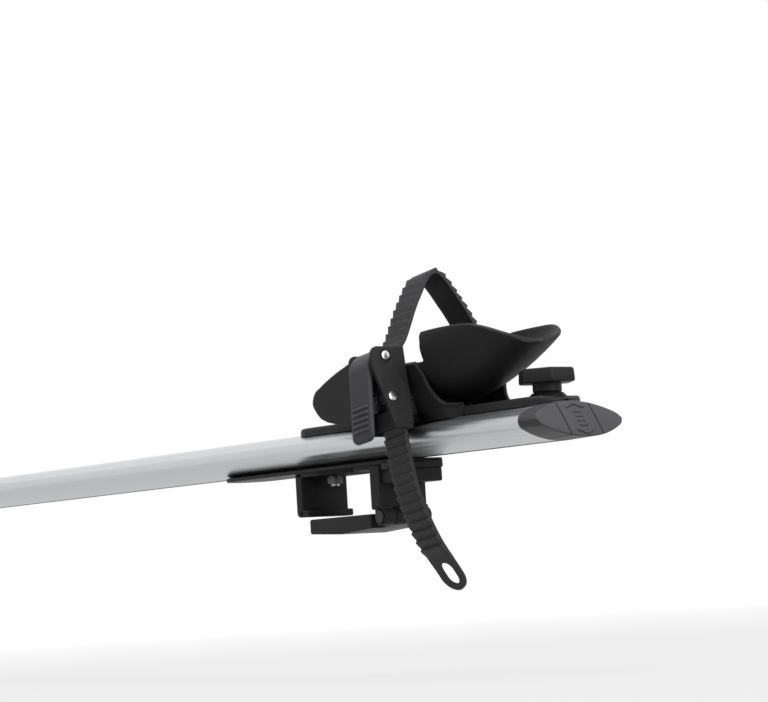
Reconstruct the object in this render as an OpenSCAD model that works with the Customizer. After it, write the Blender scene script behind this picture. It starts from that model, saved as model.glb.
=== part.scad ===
// Roof mounted carrier: an oval rail on two clamps, with a strapped tray at each end
// and a folding arm that ends in a claw. Millimetres.
// Origin: middle of the rear clamp's seat. +X runs along the rail to its rear end, +Z is up.

/* [Rail] */
// Length of the rail
rail_len = 1300; // [1200:10:1500]
// How far the rail reaches behind the rear clamp's middle
rear_overhang = 200; // [195:5:230]
// Width of the oval section
rail_w = 64; // [62:1:68]
// Height of the oval section
rail_h = 23; // [22:0.5:26]
// Radius of the section's narrow edges
rail_edge_r = 5; // [4.5:0.25:6]
// Wall of the section
rail_wall = 2; // [1.6:0.1:2.2]
// Width of the slots in the top and the underside
slot_w = 8.6; // [8.6:0.1:9.4]
// Width of the channel behind each slot
channel_w = 15; // [14.4:0.2:17]
// Height of the channel behind each slot
channel_h = 5; // [4.6:0.1:5.4]

/* [End caps] */
// Length of a cap at the rail's middle height
cap_len = 17; // [15:0.5:22]
// Rake of the cap's face, run over rise
cap_rake = 0.66; // [0.4:0.02:0.75]
// How far the face draws in from the rail's outline
cap_taper = 0.6; // [0.4:0.1:2]
// Distance of the face grooves from the middle
cap_groove_y = 12; // [9:0.5:14]
// Width and depth of the face grooves
cap_groove = 0.9; // [0.5:0.1:1.4]
// Length of the plugs inside the rail
cap_plug = 14; // [8:1:24]

/* [Clamps] */
// Distance between the two clamps
bar_spread = 700; // [600:10:760]
// Width of the opening that a clamp closes round
bar_w = 74; // [70:1:80]
// Height of the opening that a clamp closes round
bar_h = 27; // [22:0.5:32]
// Width of a clamp, across the rail
clamp_w = 36; // [32:1:38]
// Thickness of the plate under the rail
plate_t = 2.5; // [2:0.1:4]
// Reach of the plate towards the front
plate_inner = 137; // [90:1:150]
// Thickness of the rubber pad
pad_t = 2.5; // [2:0.1:4]
// Distance of a clamp bolt from the clamp's middle
clamp_bolt_x = 26; // [24:0.5:27]
// Diameter of the clamp and arm bolts
clamp_bolt_d = 6; // [5:0.5:8]
// Thickness of the post at the rear of the opening
post_t = 10; // [8:0.5:12]
// Length of the ear on the post
ear_len = 21; // [16:1:26]
// Height of the ear on the post
ear_h = 8.3; // [6:0.1:10]
// Thickness of the hook at the front of the opening
hook_t = 7; // [5:0.5:9]
// Radius of the lever's hinge barrel
barrel_r = 5.6; // [5:0.1:7]
// Width of the lever's hinge barrel
barrel_w = 18; // [14:1:20]
// Diameter of the lever's hinge pin
clamp_pin_d = 6; // [5:0.5:7]
// Length of the clamp lever from its hinge
clamp_lever_len = 76; // [66:1:78]
// Thickness of the clamp lever at its free end
clamp_lever_t = 9.5; // [8:0.5:11]

/* [Trays] */
// Thickness of the tray's deck over the rail's crown
deck_t = 3; // [2.4:0.1:4]
// Width of the deck's tongues
tongue_w = 40; // [36:1:44]
// Distance of the knob from the rail's end
knob_in = 10; // [9:0.5:14]
// Distance of the strap from the rail's end
strap_in = 112; // [108:1:116]
// Distance of the inner tongue's tip from the rail's end
tongue_in = 246; // [240:1:254]
// Half the width of the trough
trough_half = 36; // [35.5:0.5:38]
// Wall of the trough
trough_wall = 3; // [2.4:0.1:3.4]
// Radius of the trough's floor, seen from the side
trough_r = 220; // [210:5:250]
// Distance of the trough's lowest point from the rail's end
trough_in = 130; // [126:1:134]
// Height of the trough's rim over the deck
rim_h = 45.5; // [43:0.5:48]
// Distance of the rim's highest point from the rail's end
rim_in = 45; // [43:0.5:48]
// Radius of the rim's long back
rim_back_r = 500; // [470:10:560]
// Distance of the trough's lip from the rail's end
lip_in = 17; // [16:0.5:19]
// Radius of the wing at the trough's inner end
wing_r = 10; // [9:0.5:11.5]
// Distance of the wing's corner from the rail's end
wing_in = 188; // [184:1:191]
// How far the side panels reach below the deck's top
panel_drop = 5.5; // [4:0.5:6.5]
// Height over the deck where the side panels stand upright
knee_h = 29; // [26:0.5:31]
// Diameter of the knob's head, across its corners
knob_d = 35; // [31:1:38]
// Height of the knob's head
knob_h = 8.5; // [7:0.5:12]
// Diameter of the knob's neck
neck_d = 17; // [15:0.5:18]
// Height of the knob's neck
neck_h = 5.2; // [4:0.2:9]
// Diameter of the collar under the knob
collar_d = 22; // [20:0.5:24]
// Height of the collar under the knob
collar_h = 2.5; // [2:0.1:4]
// Diameter of the tray's bolt
tray_bolt_d = 8; // [6:0.5:8]

/* [Straps] */
// Width of the strap
strap_w = 20.5; // [18.5:0.5:22]
// Thickness of the strap's band
band_t = 2.2; // [1.8:0.1:2.6]
// Height of the strap's teeth
tooth_h = 1.5; // [1.2:0.1:1.8]
// Pitch of the strap's teeth
tooth_pitch = 5.7; // [5:0.1:7]
// Height of the strap's arch over the deck
arch_h = 84; // [80:0.5:92]
// Half the width of the arch below its crown
arch_half = 15; // [13:0.5:16]
// Lean of the strap and its buckle towards the rail's middle, in degrees
strap_lean = 7.5; // [0:0.5:9]
// How far the tail's end hangs below the deck
tail_drop = 108.5; // [98:0.5:115]
// How far the tail's end swings in under the carrier
tail_swing = 32; // [26:1:36]
// Length of the plain end of the tail
tail_plain = 24; // [20:1:30]
// Diameter of the pull hole's round ends
pull_hole_d = 10.5; // [8:0.5:11]

/* [Buckles] */
// Thickness of the buckle's back
buckle_back = 2; // [1.6:0.1:2.4]
// Thickness of the buckle's cheeks
cheek_t = 2.4; // [2:0.1:3]
// Height of the buckle
buckle_h = 49.5; // [47:0.5:52]
// Depth of the buckle at its top
buckle_depth = 24.5; // [23.5:0.5:27]
// Width of the buckle's lever
lever_w = 19.6; // [17:0.2:20]
// Thickness of the buckle's lever
lever_t = 3.2; // [2.8:0.1:4]
// Drop of the lever's tip below its pin
lever_drop = 50.5; // [46:0.5:54]
// Diameter of the buckle's pins
pin_d = 5; // [4:0.25:5.5]
// Width of the pawl
pawl_w = 10; // [8:0.5:11]
// Wire of the pawl's spring
spring_wire = 0.8; // [0.6:0.05:0.9]
// Turns of the pawl's spring
spring_turns = 3; // [2:1:3]
// Diameter of the screws that hold the buckle and the strap's end
screw_fix_d = 4; // [3:0.25:4.5]
// Length of those screws in the tray
screw_fix_len = 7; // [5:0.5:8]

/* [Frame arm] */
// Distance of the arm's pivot from the rail's rear end
arm_in = 870; // [800:5:875]
// Height of the arm's pivot over the deck
arm_pivot_h = 24; // [22:0.5:30]
// Lean of the arm from upright, towards the rear
arm_lean = 20; // [10:1:26]
// Length of the arm from its pivot to the claw
arm_len = 430; // [380:5:460]
// Diameter of the arm's tube
arm_d = 22; // [20:0.5:24]
// Wall of the arm's tube
arm_wall = 1.6; // [1.2:0.1:2.4]
// Wall of the sockets on the arm's tube
socket_wall = 4; // [3:0.25:5]
// Depth of the tube in its sockets
socket_depth = 26; // [20:1:32]
// Gap between the ears of the arm's base
ear_gap = 22; // [20:0.5:24]
// Thickness of the base's ears
base_ear_t = 5; // [4:0.5:6]
// Diameter of the pivot bolt
pivot_d = 10; // [8:0.5:11]
// Length of the arm's base
base_len = 90; // [84:1:94]
// Diameter that the claw takes
tube_d = 40; // [36:1:44]
// Thickness of the claw's rubber pads
claw_pad_t = 4; // [3:0.25:5]
// Thickness of the claw's jaws
jaw_t = 8; // [6:0.5:9]
// Width of the claw's jaws
jaw_w = 36; // [32:1:40]
// Travel of the sliding jaw
jaw_travel = 25; // [18:1:30]
// Diameter of the claw's screw
screw_d = 8; // [7:0.25:9]
// Diameter of the claw's knob
claw_knob_d = 40; // [36:1:46]
// Height of the claw's knob
claw_knob_h = 22; // [18:1:26]
// Diameter of the lock cylinder
lock_d = 16; // [14:0.5:18]

/* [Hidden] */
$fn = 64;
black = "#26272a";
charcoal = "#34363a";
silver = "#c4c7ca";
steel = "#b9bcc0";
rubber = "#1c1d1f";

// Clearances
slide_gap = 0.3;   // between pieces that slide on each other
turn_gap = 0.05;   // round a pin, all round
side_gap = 0.4;    // beside a piece that turns
bolt_gap = 0.05;   // between a bolt and its nut, all round
cut = 1;           // how far a cut runs past a face
far = 400;         // longer than any piece that a half-space cuts

// Rail and its section: two flat arcs that run into two small end arcs
rail_z = pad_t + plate_t + rail_h/2;
rear_x = rear_overhang;
front_x = rear_overhang - rail_len;
edge_y = rail_w/2 - rail_edge_r;
crown_r = (edge_y*edge_y + rail_h*rail_h/4 - rail_edge_r*rail_edge_r)/(rail_h - 2*rail_edge_r);
crown_drop = crown_r - rail_h/2;
lip_z = rail_h/2 - rail_wall;
channel_z = lip_z - channel_h;
head_w = channel_w - 2*slide_gap;
head_h = channel_h - 2*slide_gap - 0.4;

// Clamp places, from the middle of the clamp's seat
plate_z = pad_t;
post_x = bar_w/2 - 1;
ear_x = post_x + post_t;
hook_x = -bar_w/2 - 0.5;
flange_x = clamp_bolt_x - clamp_bolt_d - 2;
hinge_x = post_x + post_t - 1;
hinge_z = -bar_h - barrel_r + 3;
lever_top = -bar_h - slide_gap;
nut_h = clamp_bolt_d*0.87;
nut_end = 1.4;
clamp_pin_r = clamp_pin_d/2;

// Tray places, from the middle of the rail's end
deck_z = rail_h/2 + deck_t;
tongue_r = tongue_w/2;
deck_fall = 2.2;
trough_z = deck_z + trough_r;
trough_low = trough_r - trough_half;
panel_in = trough_half - trough_wall;
panel_z = deck_z - panel_drop;
knee_z = deck_z + knee_h;
rim_z = deck_z + rim_h;
lip_top = trough_z - sqrt(pow(trough_r - trough_wall, 2) - pow(trough_in - lip_in, 2)) + 1;
nose_run = rim_in - lip_in;
nose_fall = rim_z - lip_top;
rim_nose_r = (nose_run*nose_run + nose_fall*nose_fall)/(2*nose_fall);
rim_fall_in = 150;
rim_fall_r = 139;
back_at = [-rim_in, rim_z - rim_back_r];
back_angle = 90 + asin((rim_fall_in - rim_in)/rim_back_r);
fall_at = back_at + (rim_back_r - rim_fall_r)*[cos(back_angle), sin(back_angle)];
wing_angle = 90 + asin((wing_in + fall_at[0])/rim_fall_r);
wing_at = fall_at + (rim_fall_r - wing_r)*[cos(wing_angle), sin(wing_angle)];
wing_foot_r = 12;
wing_foot_at = [wing_at[0] - wing_r + wing_foot_r, panel_z + 20];
wing_flat_in = 150;
panel_foot = tongue_r + trough_wall + 1.5;
panel_flare_r = 20;
panel_flare_x = strap_in - 46;
panel_top_x = strap_in - 20.5;
web_left = trough_in + 37;
web_right = trough_in - 25;
web_half = 4;
notch_left = strap_in + strap_w/2 + 4;
notch_right = strap_in - 30;
notch_corner = 4;
notch_z = deck_z + 27.5;
collar_top = deck_z + collar_h;
neck_top = collar_top + slide_gap + neck_h;
knob_top = neck_top + knob_h;
knob_roof = 3;
knob_sides = 6;
bolt_r = tray_bolt_d/2;

// Buckle places, from the middle of the rail's end; the buckle is on the -Y panel
back_y = trough_half + buckle_back;
strap_play = 1.9;
cheek_in = max(strap_w, lever_w)/2 + strap_play;
cheek_out = cheek_in + cheek_t;
boss_half = cheek_out;
buckle_low = deck_z - 12.5;
buckle_top = buckle_low + buckle_h;
lever_pin = [-(trough_half + buckle_depth - 10.5), buckle_top - 5.5];
lever_hub_r = pin_d/2 + 3.5;
pawl_pin = [-(back_y + band_t + tooth_h + pin_d/2 + 5.3), deck_z + 6.5];
pawl_hub_r = pin_d/2 + 1.6;
head_r = pin_d/2 + 0.3;
head_t = 1;
recess_r = head_r + 1.5;
recess_at = lever_pin + [-0.6, -1.2];
gate_y = back_y + band_t + tooth_h + 2*slide_gap;
gate_t = 2;
gate_low = buckle_low + 2;
gate_top = pawl_pin[1] - pawl_hub_r - 2;
fix_z = deck_z + 7;
fix_x = 6;
fix_r = screw_fix_d/2;
fix_head_r = fix_r + 1.4;
fix_head_t = 1.3;

// Strap path of the inner face, from the fixed end on the +Y panel, over the trough, to the tail
// It lies flat on the panel behind the screws, and flat on the buckle's back
fold_y = trough_half - 7;
fold_z = deck_z + 0.51*arch_h;
crown_z = deck_z + 0.8*arch_h;
function tail_at(across, down) = [-back_y + across*tail_swing, deck_z - down*tail_drop];
strap_path = [
    [trough_half, deck_z + 1], [trough_half, fix_z + 11], [trough_half, fix_z + 17],
    [trough_half - 0.6, fix_z + 23], [fold_y, fold_z], [arch_half, crown_z], [0, deck_z + arch_h],
    [-arch_half, crown_z], [-fold_y, fold_z], [-back_y + 1.1, notch_z + 6], [-back_y, notch_z + 0.5],
    [-back_y, deck_z + 18], [-back_y, buckle_low + 3.5], [-back_y, buckle_low - 2.5],
    tail_at(0.01, 0.226), tail_at(0.11, 0.47), tail_at(0.4, 0.71), tail_at(0.77, 0.89), tail_at(1, 1)
];
spans = len(strap_path) - 1;
span_steps = 12;
function path_at(i) = strap_path[max(0, min(spans, i))];
function blend(a, b, c, d, t) =
    (2*b + (c - a)*t + (2*a - 5*b + 4*c - d)*t*t + (3*b - a - 3*c + d)*t*t*t)/2;
strap_points = [
    for (i = [0 : spans - 1]) for (k = [0 : span_steps - 1])
        blend(path_at(i - 1), path_at(i), path_at(i + 1), path_at(i + 2), k/span_steps),
    strap_path[spans]
];
last_point = len(strap_points) - 1;
strap_runs = [
    for (i = 0, s = 0; i <= last_point;
         s = s + norm(strap_points[min(i + 1, last_point)] - strap_points[i]), i = i + 1) s
];
strap_len = strap_runs[last_point];
strap_y = [for (i = [0 : last_point]) [strap_runs[i], strap_points[i][0]]];
strap_z = [for (i = [0 : last_point]) [strap_runs[i], strap_points[i][1]]];
function strap_at(s) = [lookup(s, strap_y), lookup(s, strap_z)];
function strap_dir(s) = let (d = strap_at(min(s + 1, strap_len)) - strap_at(max(s - 1, 0))) d/norm(d);
// A point of the strap at a run and a height over its inner face
function strap_off(s, h) = let (d = strap_dir(s)) strap_at(s) + h*[d[1], -d[0]];
teeth_from = 36;
teeth_n = floor((strap_len - tail_plain - teeth_from)/tooth_pitch);
teeth_to = teeth_from + teeth_n*tooth_pitch;
tooth_rise = 0.2;
tail_dir = strap_dir(strap_len);
tail_turn = atan2(tail_dir[1], tail_dir[0]);
pull_hole_len = 5;
pull_hole_in = 9.5;

// Arm places
arm_x = rear_overhang - arm_in;
deck_top = rail_z + deck_z;
pivot_z = deck_top + arm_pivot_h;
knuckle_r = pivot_d/2 + 9;
knuckle_w = ear_gap - 2*side_gap;
socket_r = arm_d/2 + socket_wall;
base_bolt_x = base_len/2 - 11;
base_ear_r = pivot_d/2 + 8;
ear_flare = 9;
socket_from = base_ear_r + ear_flare + side_gap;
claw_bar_h = screw_d + 6;
claw_rail_in = screw_d/2 + 4.3;
claw_rail_out = claw_rail_in + 6;
screw_z = arm_len + claw_bar_h/2;
tube_z = arm_len + claw_bar_h + tube_d/2 + claw_pad_t + 2;
jaw_r = tube_d/2 + claw_pad_t;
mouth_y = 8;
foot_from = jaw_r - 8;
foot_to = jaw_r + jaw_t;
rail_end = foot_to + jaw_travel + 1;
rail_stop = 8;
knob_face = -foot_to - 1;

// Shared shapes

// Points of an arc in the plane, angles in degrees
function arc(at, r, from, to, n = 12) =
    [for (k = [0 : n]) let (a = from + (to - from)*k/n) at + r*[cos(a), sin(a)]];

// The rail's outline, grown all round
module oval(grow = 0) {
    tip = rail_edge_r + grow;
    join_y = edge_y + tip*edge_y/(crown_r - rail_edge_r);
    intersection() {
        translate([0, -crown_drop]) circle(crown_r + grow);
        translate([0, crown_drop]) circle(crown_r + grow);
        square([2*join_y, 2*rail_h], center = true);
    }
    for (side = [-1, 1]) translate([side*edge_y, 0]) circle(tip);
}

// A profile in Y and Z, carried along X from the origin
module along_x(length, center = false) {
    rotate([90, 0, 90]) linear_extrude(length, center = center) children();
}

// A profile in X and Z, carried along Y about the middle
module across(width) {
    rotate([90, 0, 0]) linear_extrude(width, center = true) children();
}

// A cylinder along Y about the middle
module rod_y(r, width) {
    rotate([90, 0, 0]) cylinder(r = r, h = width, center = true);
}

// A cylinder along X about the middle
module rod_x(r, width) {
    rotate([0, 90, 0]) cylinder(r = r, h = width, center = true);
}

// A bolt whose square head lies in a rail channel: head on Z 0 and down, shank up
module slot_bolt(d, length) {
    translate([-head_w/2, -head_w/2, -head_h]) cube([head_w, head_w, head_h]);
    cylinder(d = d, h = length);
}

// A hexagonal nut that stands on Z 0
module hex_nut(d) {
    difference() {
        cylinder(d = d*5/3/cos(30), h = d*0.87, $fn = 6);
        translate([0, 0, -cut]) cylinder(r = d/2 + bolt_gap, h = d + 2*cut);
    }
}

// A headed pin along X, its heads outside a given half length
module pin_x(half) {
    rod_x(pin_d/2, 2*half);
    for (side = [-1, 1]) translate([side*(half + head_t/2), 0, 0]) rod_x(head_r, head_t);
}

// A fluted knob head that stands on Z 0
module knob_head(d, h, flutes) {
    flute_r = d*0.28;
    difference() {
        cylinder(d1 = d, d2 = d - 1, h = h);
        for (k = [0 : flutes - 1])
            rotate(k*360/flutes) translate([d/2 + flute_r - 1.6, 0, -cut])
                cylinder(r = flute_r, h = h + 2*cut);
    }
}

// Places

// One end of the rail: its middle, with X pointing out of the rail
module at_end(end) {
    front = end == "front" ? 1 : 0;
    translate([front == 1 ? front_x : rear_x, 0, rail_z]) mirror([front, 0, 0]) children();
}

// The lean of a strap and its buckle, about the strap's middle at the buckle's top
module at_lean() {
    translate([-strap_in, 0, buckle_top]) rotate([0, -strap_lean, 0])
        translate([strap_in, 0, -buckle_top]) children();
}

// One clamp: the middle of its seat
module at_bar(end) {
    translate([end == "front" ? -bar_spread : 0, 0, 0]) children();
}

// The arm's own frame: its pivot, with Z along the arm
module at_arm() {
    translate([arm_x, 0, pivot_z]) rotate([0, arm_lean, 0]) children();
}

// Rail and caps

// Two hollow side chambers of the rail, drawn in by a gap
module side_chambers(gap = 0) {
    inner = channel_w/2 + rail_wall + gap;
    for (side = [-1, 1]) intersection() {
        oval(-rail_wall - gap);
        translate([side*(inner + rail_w/2), 0]) square([rail_w, rail_h], center = true);
    }
}

// A slot and its channel, in the section's top
module slot_section() {
    translate([-slot_w/2, channel_z + cut]) square([slot_w, rail_h/2]);
    translate([-channel_w/2, channel_z]) square([channel_w, channel_h]);
}

module rail() color(silver)
    translate([front_x, 0, rail_z]) along_x(rail_len) difference() {
        oval();
        side_chambers();
        slot_section();
        mirror([0, 1]) slot_section();
    }

// The cap's raked face: its middle, with X square to the face
module at_cap_face() {
    translate([cap_len, 0, 0]) rotate([0, -atan(cap_rake), 0]) children();
}

// A double arrow, raised on the face's middle panel: four bars between two chevrons
module cap_marks() {
    mark_t = 0.7;
    sink = 0.6;
    bar_size = [6.5, 1.3];
    bar_pitch = 3.2;
    wing_y = 6.6;
    chevron_h = 2.8;
    chevron_t = 1.5;
    chevron_z = 2.2*bar_pitch;
    at_cap_face() translate([-sink, 0, 0]) along_x(sink + mark_t) {
        for (k = [-1.5 : 1.5]) translate([0, k*bar_pitch]) square(bar_size, center = true);
        for (side = [0, 1]) mirror([0, side]) translate([0, chevron_z])
            polygon([[-wing_y, chevron_t], [0, chevron_t + chevron_h], [wing_y, chevron_t],
                     [wing_y, 0], [0, chevron_h], [-wing_y, 0]]);
    }
}

module cap() {
    skin = 0.4;
    groove_len = 2*rail_h;
    difference() {
        hull() {
            along_x(skin) oval();
            multmatrix([[1, 0, -cap_rake, cap_len - skin], [0, 1, 0, 0], [0, 0, 1, 0], [0, 0, 0, 1]])
                along_x(skin) oval(-cap_taper);
        }
        for (side = [-1, 1])
            at_cap_face() translate([-cap_groove, side*cap_groove_y - cap_groove/2, -groove_len/2])
                cube([cap_groove + cut, cap_groove, groove_len]);
    }
    cap_marks();
    translate([-cap_plug, 0, 0]) along_x(cap_plug + skin) side_chambers(slide_gap);
}

module rear_cap() color(charcoal) at_end("rear") cap();
module front_cap() color(charcoal) at_end("front") cap();

// Clamps

// The flat end of a piece under the plate, with its bolt hole
module clamp_flange(from, to) {
    difference() {
        translate([from, -clamp_w/2, 0]) cube([to - from, clamp_w, plate_z]);
        translate([sign(from + to)*clamp_bolt_x, 0, -cut])
            cylinder(r = clamp_bolt_d/2 + bolt_gap, h = plate_z + 2*cut);
    }
}

module clamp_plate() {
    nose_drop = 3.7;
    difference() {
        union() {
            translate([-plate_inner + clamp_w/2, 0, plate_z]) cylinder(d = clamp_w, h = plate_t);
            translate([-plate_inner + clamp_w/2, -clamp_w/2, plate_z])
                cube([plate_inner - clamp_w/2 + ear_x + ear_len, clamp_w, plate_t]);
            translate([ear_x, -clamp_w/2, plate_z - nose_drop])
                cube([ear_len, clamp_w, nose_drop]);
        }
        for (side = [-1, 1]) translate([side*clamp_bolt_x, 0, 0])
            cylinder(r = clamp_bolt_d/2 + bolt_gap, h = rail_h);
    }
}

module clamp_pad() {
    translate([-flange_x + slide_gap, -clamp_w/2, 0])
        cube([2*(flange_x - slide_gap), clamp_w, pad_t]);
}

module clamp_post() {
    nose_z = plate_z - 3.7;
    corner = 3;
    clamp_flange(flange_x, post_x);
    difference() {
        union() {
            across(clamp_w) polygon(concat(
                [[post_x, plate_z], [post_x, hinge_z + barrel_r - 1], [ear_x, hinge_z + barrel_r - 1]],
                [[ear_x, plate_z]]));
            across(clamp_w - 4) polygon(concat(
                [[ear_x - cut, nose_z], [ear_x - cut, nose_z - ear_h]],
                arc([ear_x + ear_len - corner, nose_z - ear_h + corner], corner, -90, 0, 6),
                [[ear_x + ear_len, nose_z]]));
            intersection() {
                translate([hinge_x, 0, hinge_z]) rod_y(barrel_r, clamp_w);
                translate([hinge_x - far/2, -far/2, hinge_z - far]) cube([far, far, 2*far]);
            }
            translate([hinge_x - barrel_r, -clamp_w/2, hinge_z])
                cube([2*barrel_r - 3, clamp_w, barrel_r]);
        }
        translate([hinge_x, 0, hinge_z]) rod_y(clamp_pin_r + turn_gap, clamp_w + 2*cut);
        translate([hinge_x, 0, hinge_z]) rod_y(barrel_r + side_gap, barrel_w + 2*side_gap);
        translate([hinge_x - far/2, -barrel_w/2 - side_gap, hinge_z - far])
            cube([far, barrel_w + 2*side_gap, far]);
        translate([hinge_x - far, -barrel_w/2 - side_gap, lever_top - slide_gap - far])
            cube([far, barrel_w + 2*side_gap, far + 2*slide_gap]);
    }
}

module clamp_hook() {
    toe_z = -bar_h*0.78;
    toe_t = 4.5;
    toe_len = 5.5;
    clamp_flange(hook_x - hook_t, -flange_x);
    across(clamp_w) polygon(concat(
        [[hook_x, plate_z], [hook_x, toe_z], [hook_x + toe_len, toe_z], [hook_x + toe_len, toe_z - toe_t]],
        arc([hook_x - hook_t + toe_t, toe_z], toe_t, -90, -180, 6),
        [[hook_x - hook_t, plate_z]]));
}

module clamp_lever() {
    free_x = hinge_x - clamp_lever_len;
    belly = 1.6;
    root_x = hinge_x - barrel_r;
    corner = 2;
    end_z = lever_top - clamp_lever_t;
    root_z = hinge_z - barrel_r;
    difference() {
        union() {
            across(clamp_w) polygon(concat(
                [[free_x, lever_top - corner], [free_x + corner, lever_top], [root_x - 4, lever_top],
                 [root_x - 4, root_z - 1]],
                [[(free_x + root_x)/2, end_z - belly]],
                arc([free_x + corner, end_z + corner], corner, -90, -180, 5)));
            across(barrel_w) polygon([[root_x - 4 - cut, lever_top], [hinge_x, lever_top],
                                      [hinge_x, root_z], [root_x - 4 - cut, root_z - 1]]);
            translate([hinge_x, 0, hinge_z]) rod_y(barrel_r, barrel_w);
        }
        translate([hinge_x, 0, hinge_z]) rod_y(clamp_pin_r + turn_gap, clamp_w + 2*cut);
        translate([hinge_x, -far/2, lever_top]) cube([far, far, far]);
    }
}

module clamp_pin() {
    translate([hinge_x, 0, hinge_z]) {
        rod_y(clamp_pin_r, clamp_w);
        for (side = [-1, 1]) translate([0, side*(clamp_w + head_t)/2, 0]) rod_y(clamp_pin_r + 1, head_t);
    }
}

module clamp_bolts() {
    head_z = rail_z - lip_z + slide_gap;
    for (side = [-1, 1]) translate([side*clamp_bolt_x, 0, head_z]) mirror([0, 0, 1])
        slot_bolt(clamp_bolt_d, head_z + nut_h + nut_end);
}

module clamp_nuts() {
    for (side = [-1, 1]) translate([side*clamp_bolt_x, 0, -nut_h]) hex_nut(clamp_bolt_d);
}

module rear_clamp_plate() color(black) at_bar("rear") clamp_plate();
module rear_clamp_pad() color(rubber) at_bar("rear") clamp_pad();
module rear_clamp_post() color(charcoal) at_bar("rear") clamp_post();
module rear_clamp_hook() color(charcoal) at_bar("rear") clamp_hook();
module rear_clamp_lever() color(black) at_bar("rear") clamp_lever();
module rear_clamp_pin() color(steel) at_bar("rear") clamp_pin();
module rear_clamp_bolts() color(steel) at_bar("rear") clamp_bolts();
module rear_clamp_nuts() color(steel) at_bar("rear") clamp_nuts();
module front_clamp_plate() color(black) at_bar("front") clamp_plate();
module front_clamp_pad() color(rubber) at_bar("front") clamp_pad();
module front_clamp_post() color(charcoal) at_bar("front") clamp_post();
module front_clamp_hook() color(charcoal) at_bar("front") clamp_hook();
module front_clamp_lever() color(black) at_bar("front") clamp_lever();
module front_clamp_pin() color(steel) at_bar("front") clamp_pin();
module front_clamp_bolts() color(steel) at_bar("front") clamp_bolts();
module front_clamp_nuts() color(steel) at_bar("front") clamp_nuts();

// Trays

// The tray's outline from the side: lip, nose, long back, its fall, wing and the panels' lower edge
tray_outline = concat(
    [[-lip_in, panel_z]],
    arc([-rim_in, rim_z - rim_nose_r], rim_nose_r, 90 - asin(nose_run/rim_nose_r), 90, 10),
    arc(back_at, rim_back_r, 90.5, back_angle, 12),
    arc(fall_at, rim_fall_r, back_angle + 1, wing_angle, 8),
    arc(wing_at, wing_r, wing_angle + 8, 180, 12),
    arc(wing_foot_at, wing_foot_r, 196, 257, 8),
    [[-wing_flat_in, panel_z]]
);

// The trough's section, filled, carried round its floor's circle
module trough_sweep(half) {
    back = 28;
    nose = 45;
    tall = 40;
    translate([-trough_in, 0, trough_z]) rotate([90, 0, 0]) rotate(-90 - back)
        rotate_extrude(angle = back + nose) translate([trough_low, 0]) {
            intersection() {
                circle(half);
                translate([0, -half]) square([half, 2*half]);
            }
            translate([-tall, -half]) square([tall, 2*half]);
        }
}

// The deck: a plate with round ends
module deck_outline() {
    translate([-knob_in, 0]) circle(tongue_r);
    translate([-tongue_in + tongue_r, 0]) circle(tongue_r);
    translate([-tongue_in + tongue_r, -tongue_r]) square([tongue_in - tongue_r - knob_in, tongue_w]);
}

// The deck from the side: its top falls from the collar to the outer tip
module deck_side() {
    tip = tongue_r - knob_in;
    polygon([[-tongue_in, panel_z], [-tongue_in, deck_z], [collar_d/2 - knob_in, deck_z],
             [tip, deck_z - deck_fall], [tip, panel_z]]);
}

// A side panel's section in Y and Z: it leans out from the deck's edge to the knee, then stands upright
module panel_section() {
    polygon([[panel_foot, panel_z], [trough_half, knee_z], [trough_half, rim_z + cut],
             [panel_in, rim_z + cut], [panel_in, knee_z], [tongue_r - trough_wall, panel_z]]);
}

// The same panel inside the strap: upright down to a shelf
module wing_section() {
    polygon([[tongue_r - trough_wall, panel_z], [trough_half, panel_z], [trough_half, rim_z + cut],
             [panel_in, rim_z + cut], [panel_in, panel_z + trough_wall],
             [tongue_r - trough_wall, panel_z + trough_wall]]);
}

// The boss behind a buckle, outside the panel
module boss_section() {
    polygon([[tongue_r - trough_wall, panel_z], [trough_half, panel_z], [trough_half, knee_z + cut],
             [panel_in, knee_z]]);
}

// A side panel's face, seen from the side: its edge leans to a flare at the deck
module panel_face() {
    difference() {
        polygon(tray_outline);
        polygon(concat(
            [[-panel_flare_x, panel_z - cut]],
            arc([-panel_flare_x, deck_z + panel_flare_r], panel_flare_r, 270, 180),
            [[-panel_top_x, knee_z], [-panel_top_x, rim_z + cut], [cut, rim_z + cut],
             [cut, panel_z - cut]]));
    }
}

// The notch in both walls where the strap comes out of the trough
module notch_face() {
    polygon(concat(
        [[-notch_left, rim_z + cut], [-notch_left, notch_z]],
        arc([-notch_right - notch_corner, notch_z + notch_corner], notch_corner, 270, 360, 6),
        [[-notch_right, rim_z + cut]]));
}

// The holes for two screws in one of the tray's faces
module fix_holes(face) {
    for (side = [-1, 1]) translate([side*fix_x - strap_in, face*trough_half, fix_z])
        rod_y(fix_r + bolt_gap, 2*screw_fix_len + 2*slide_gap);
}

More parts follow.
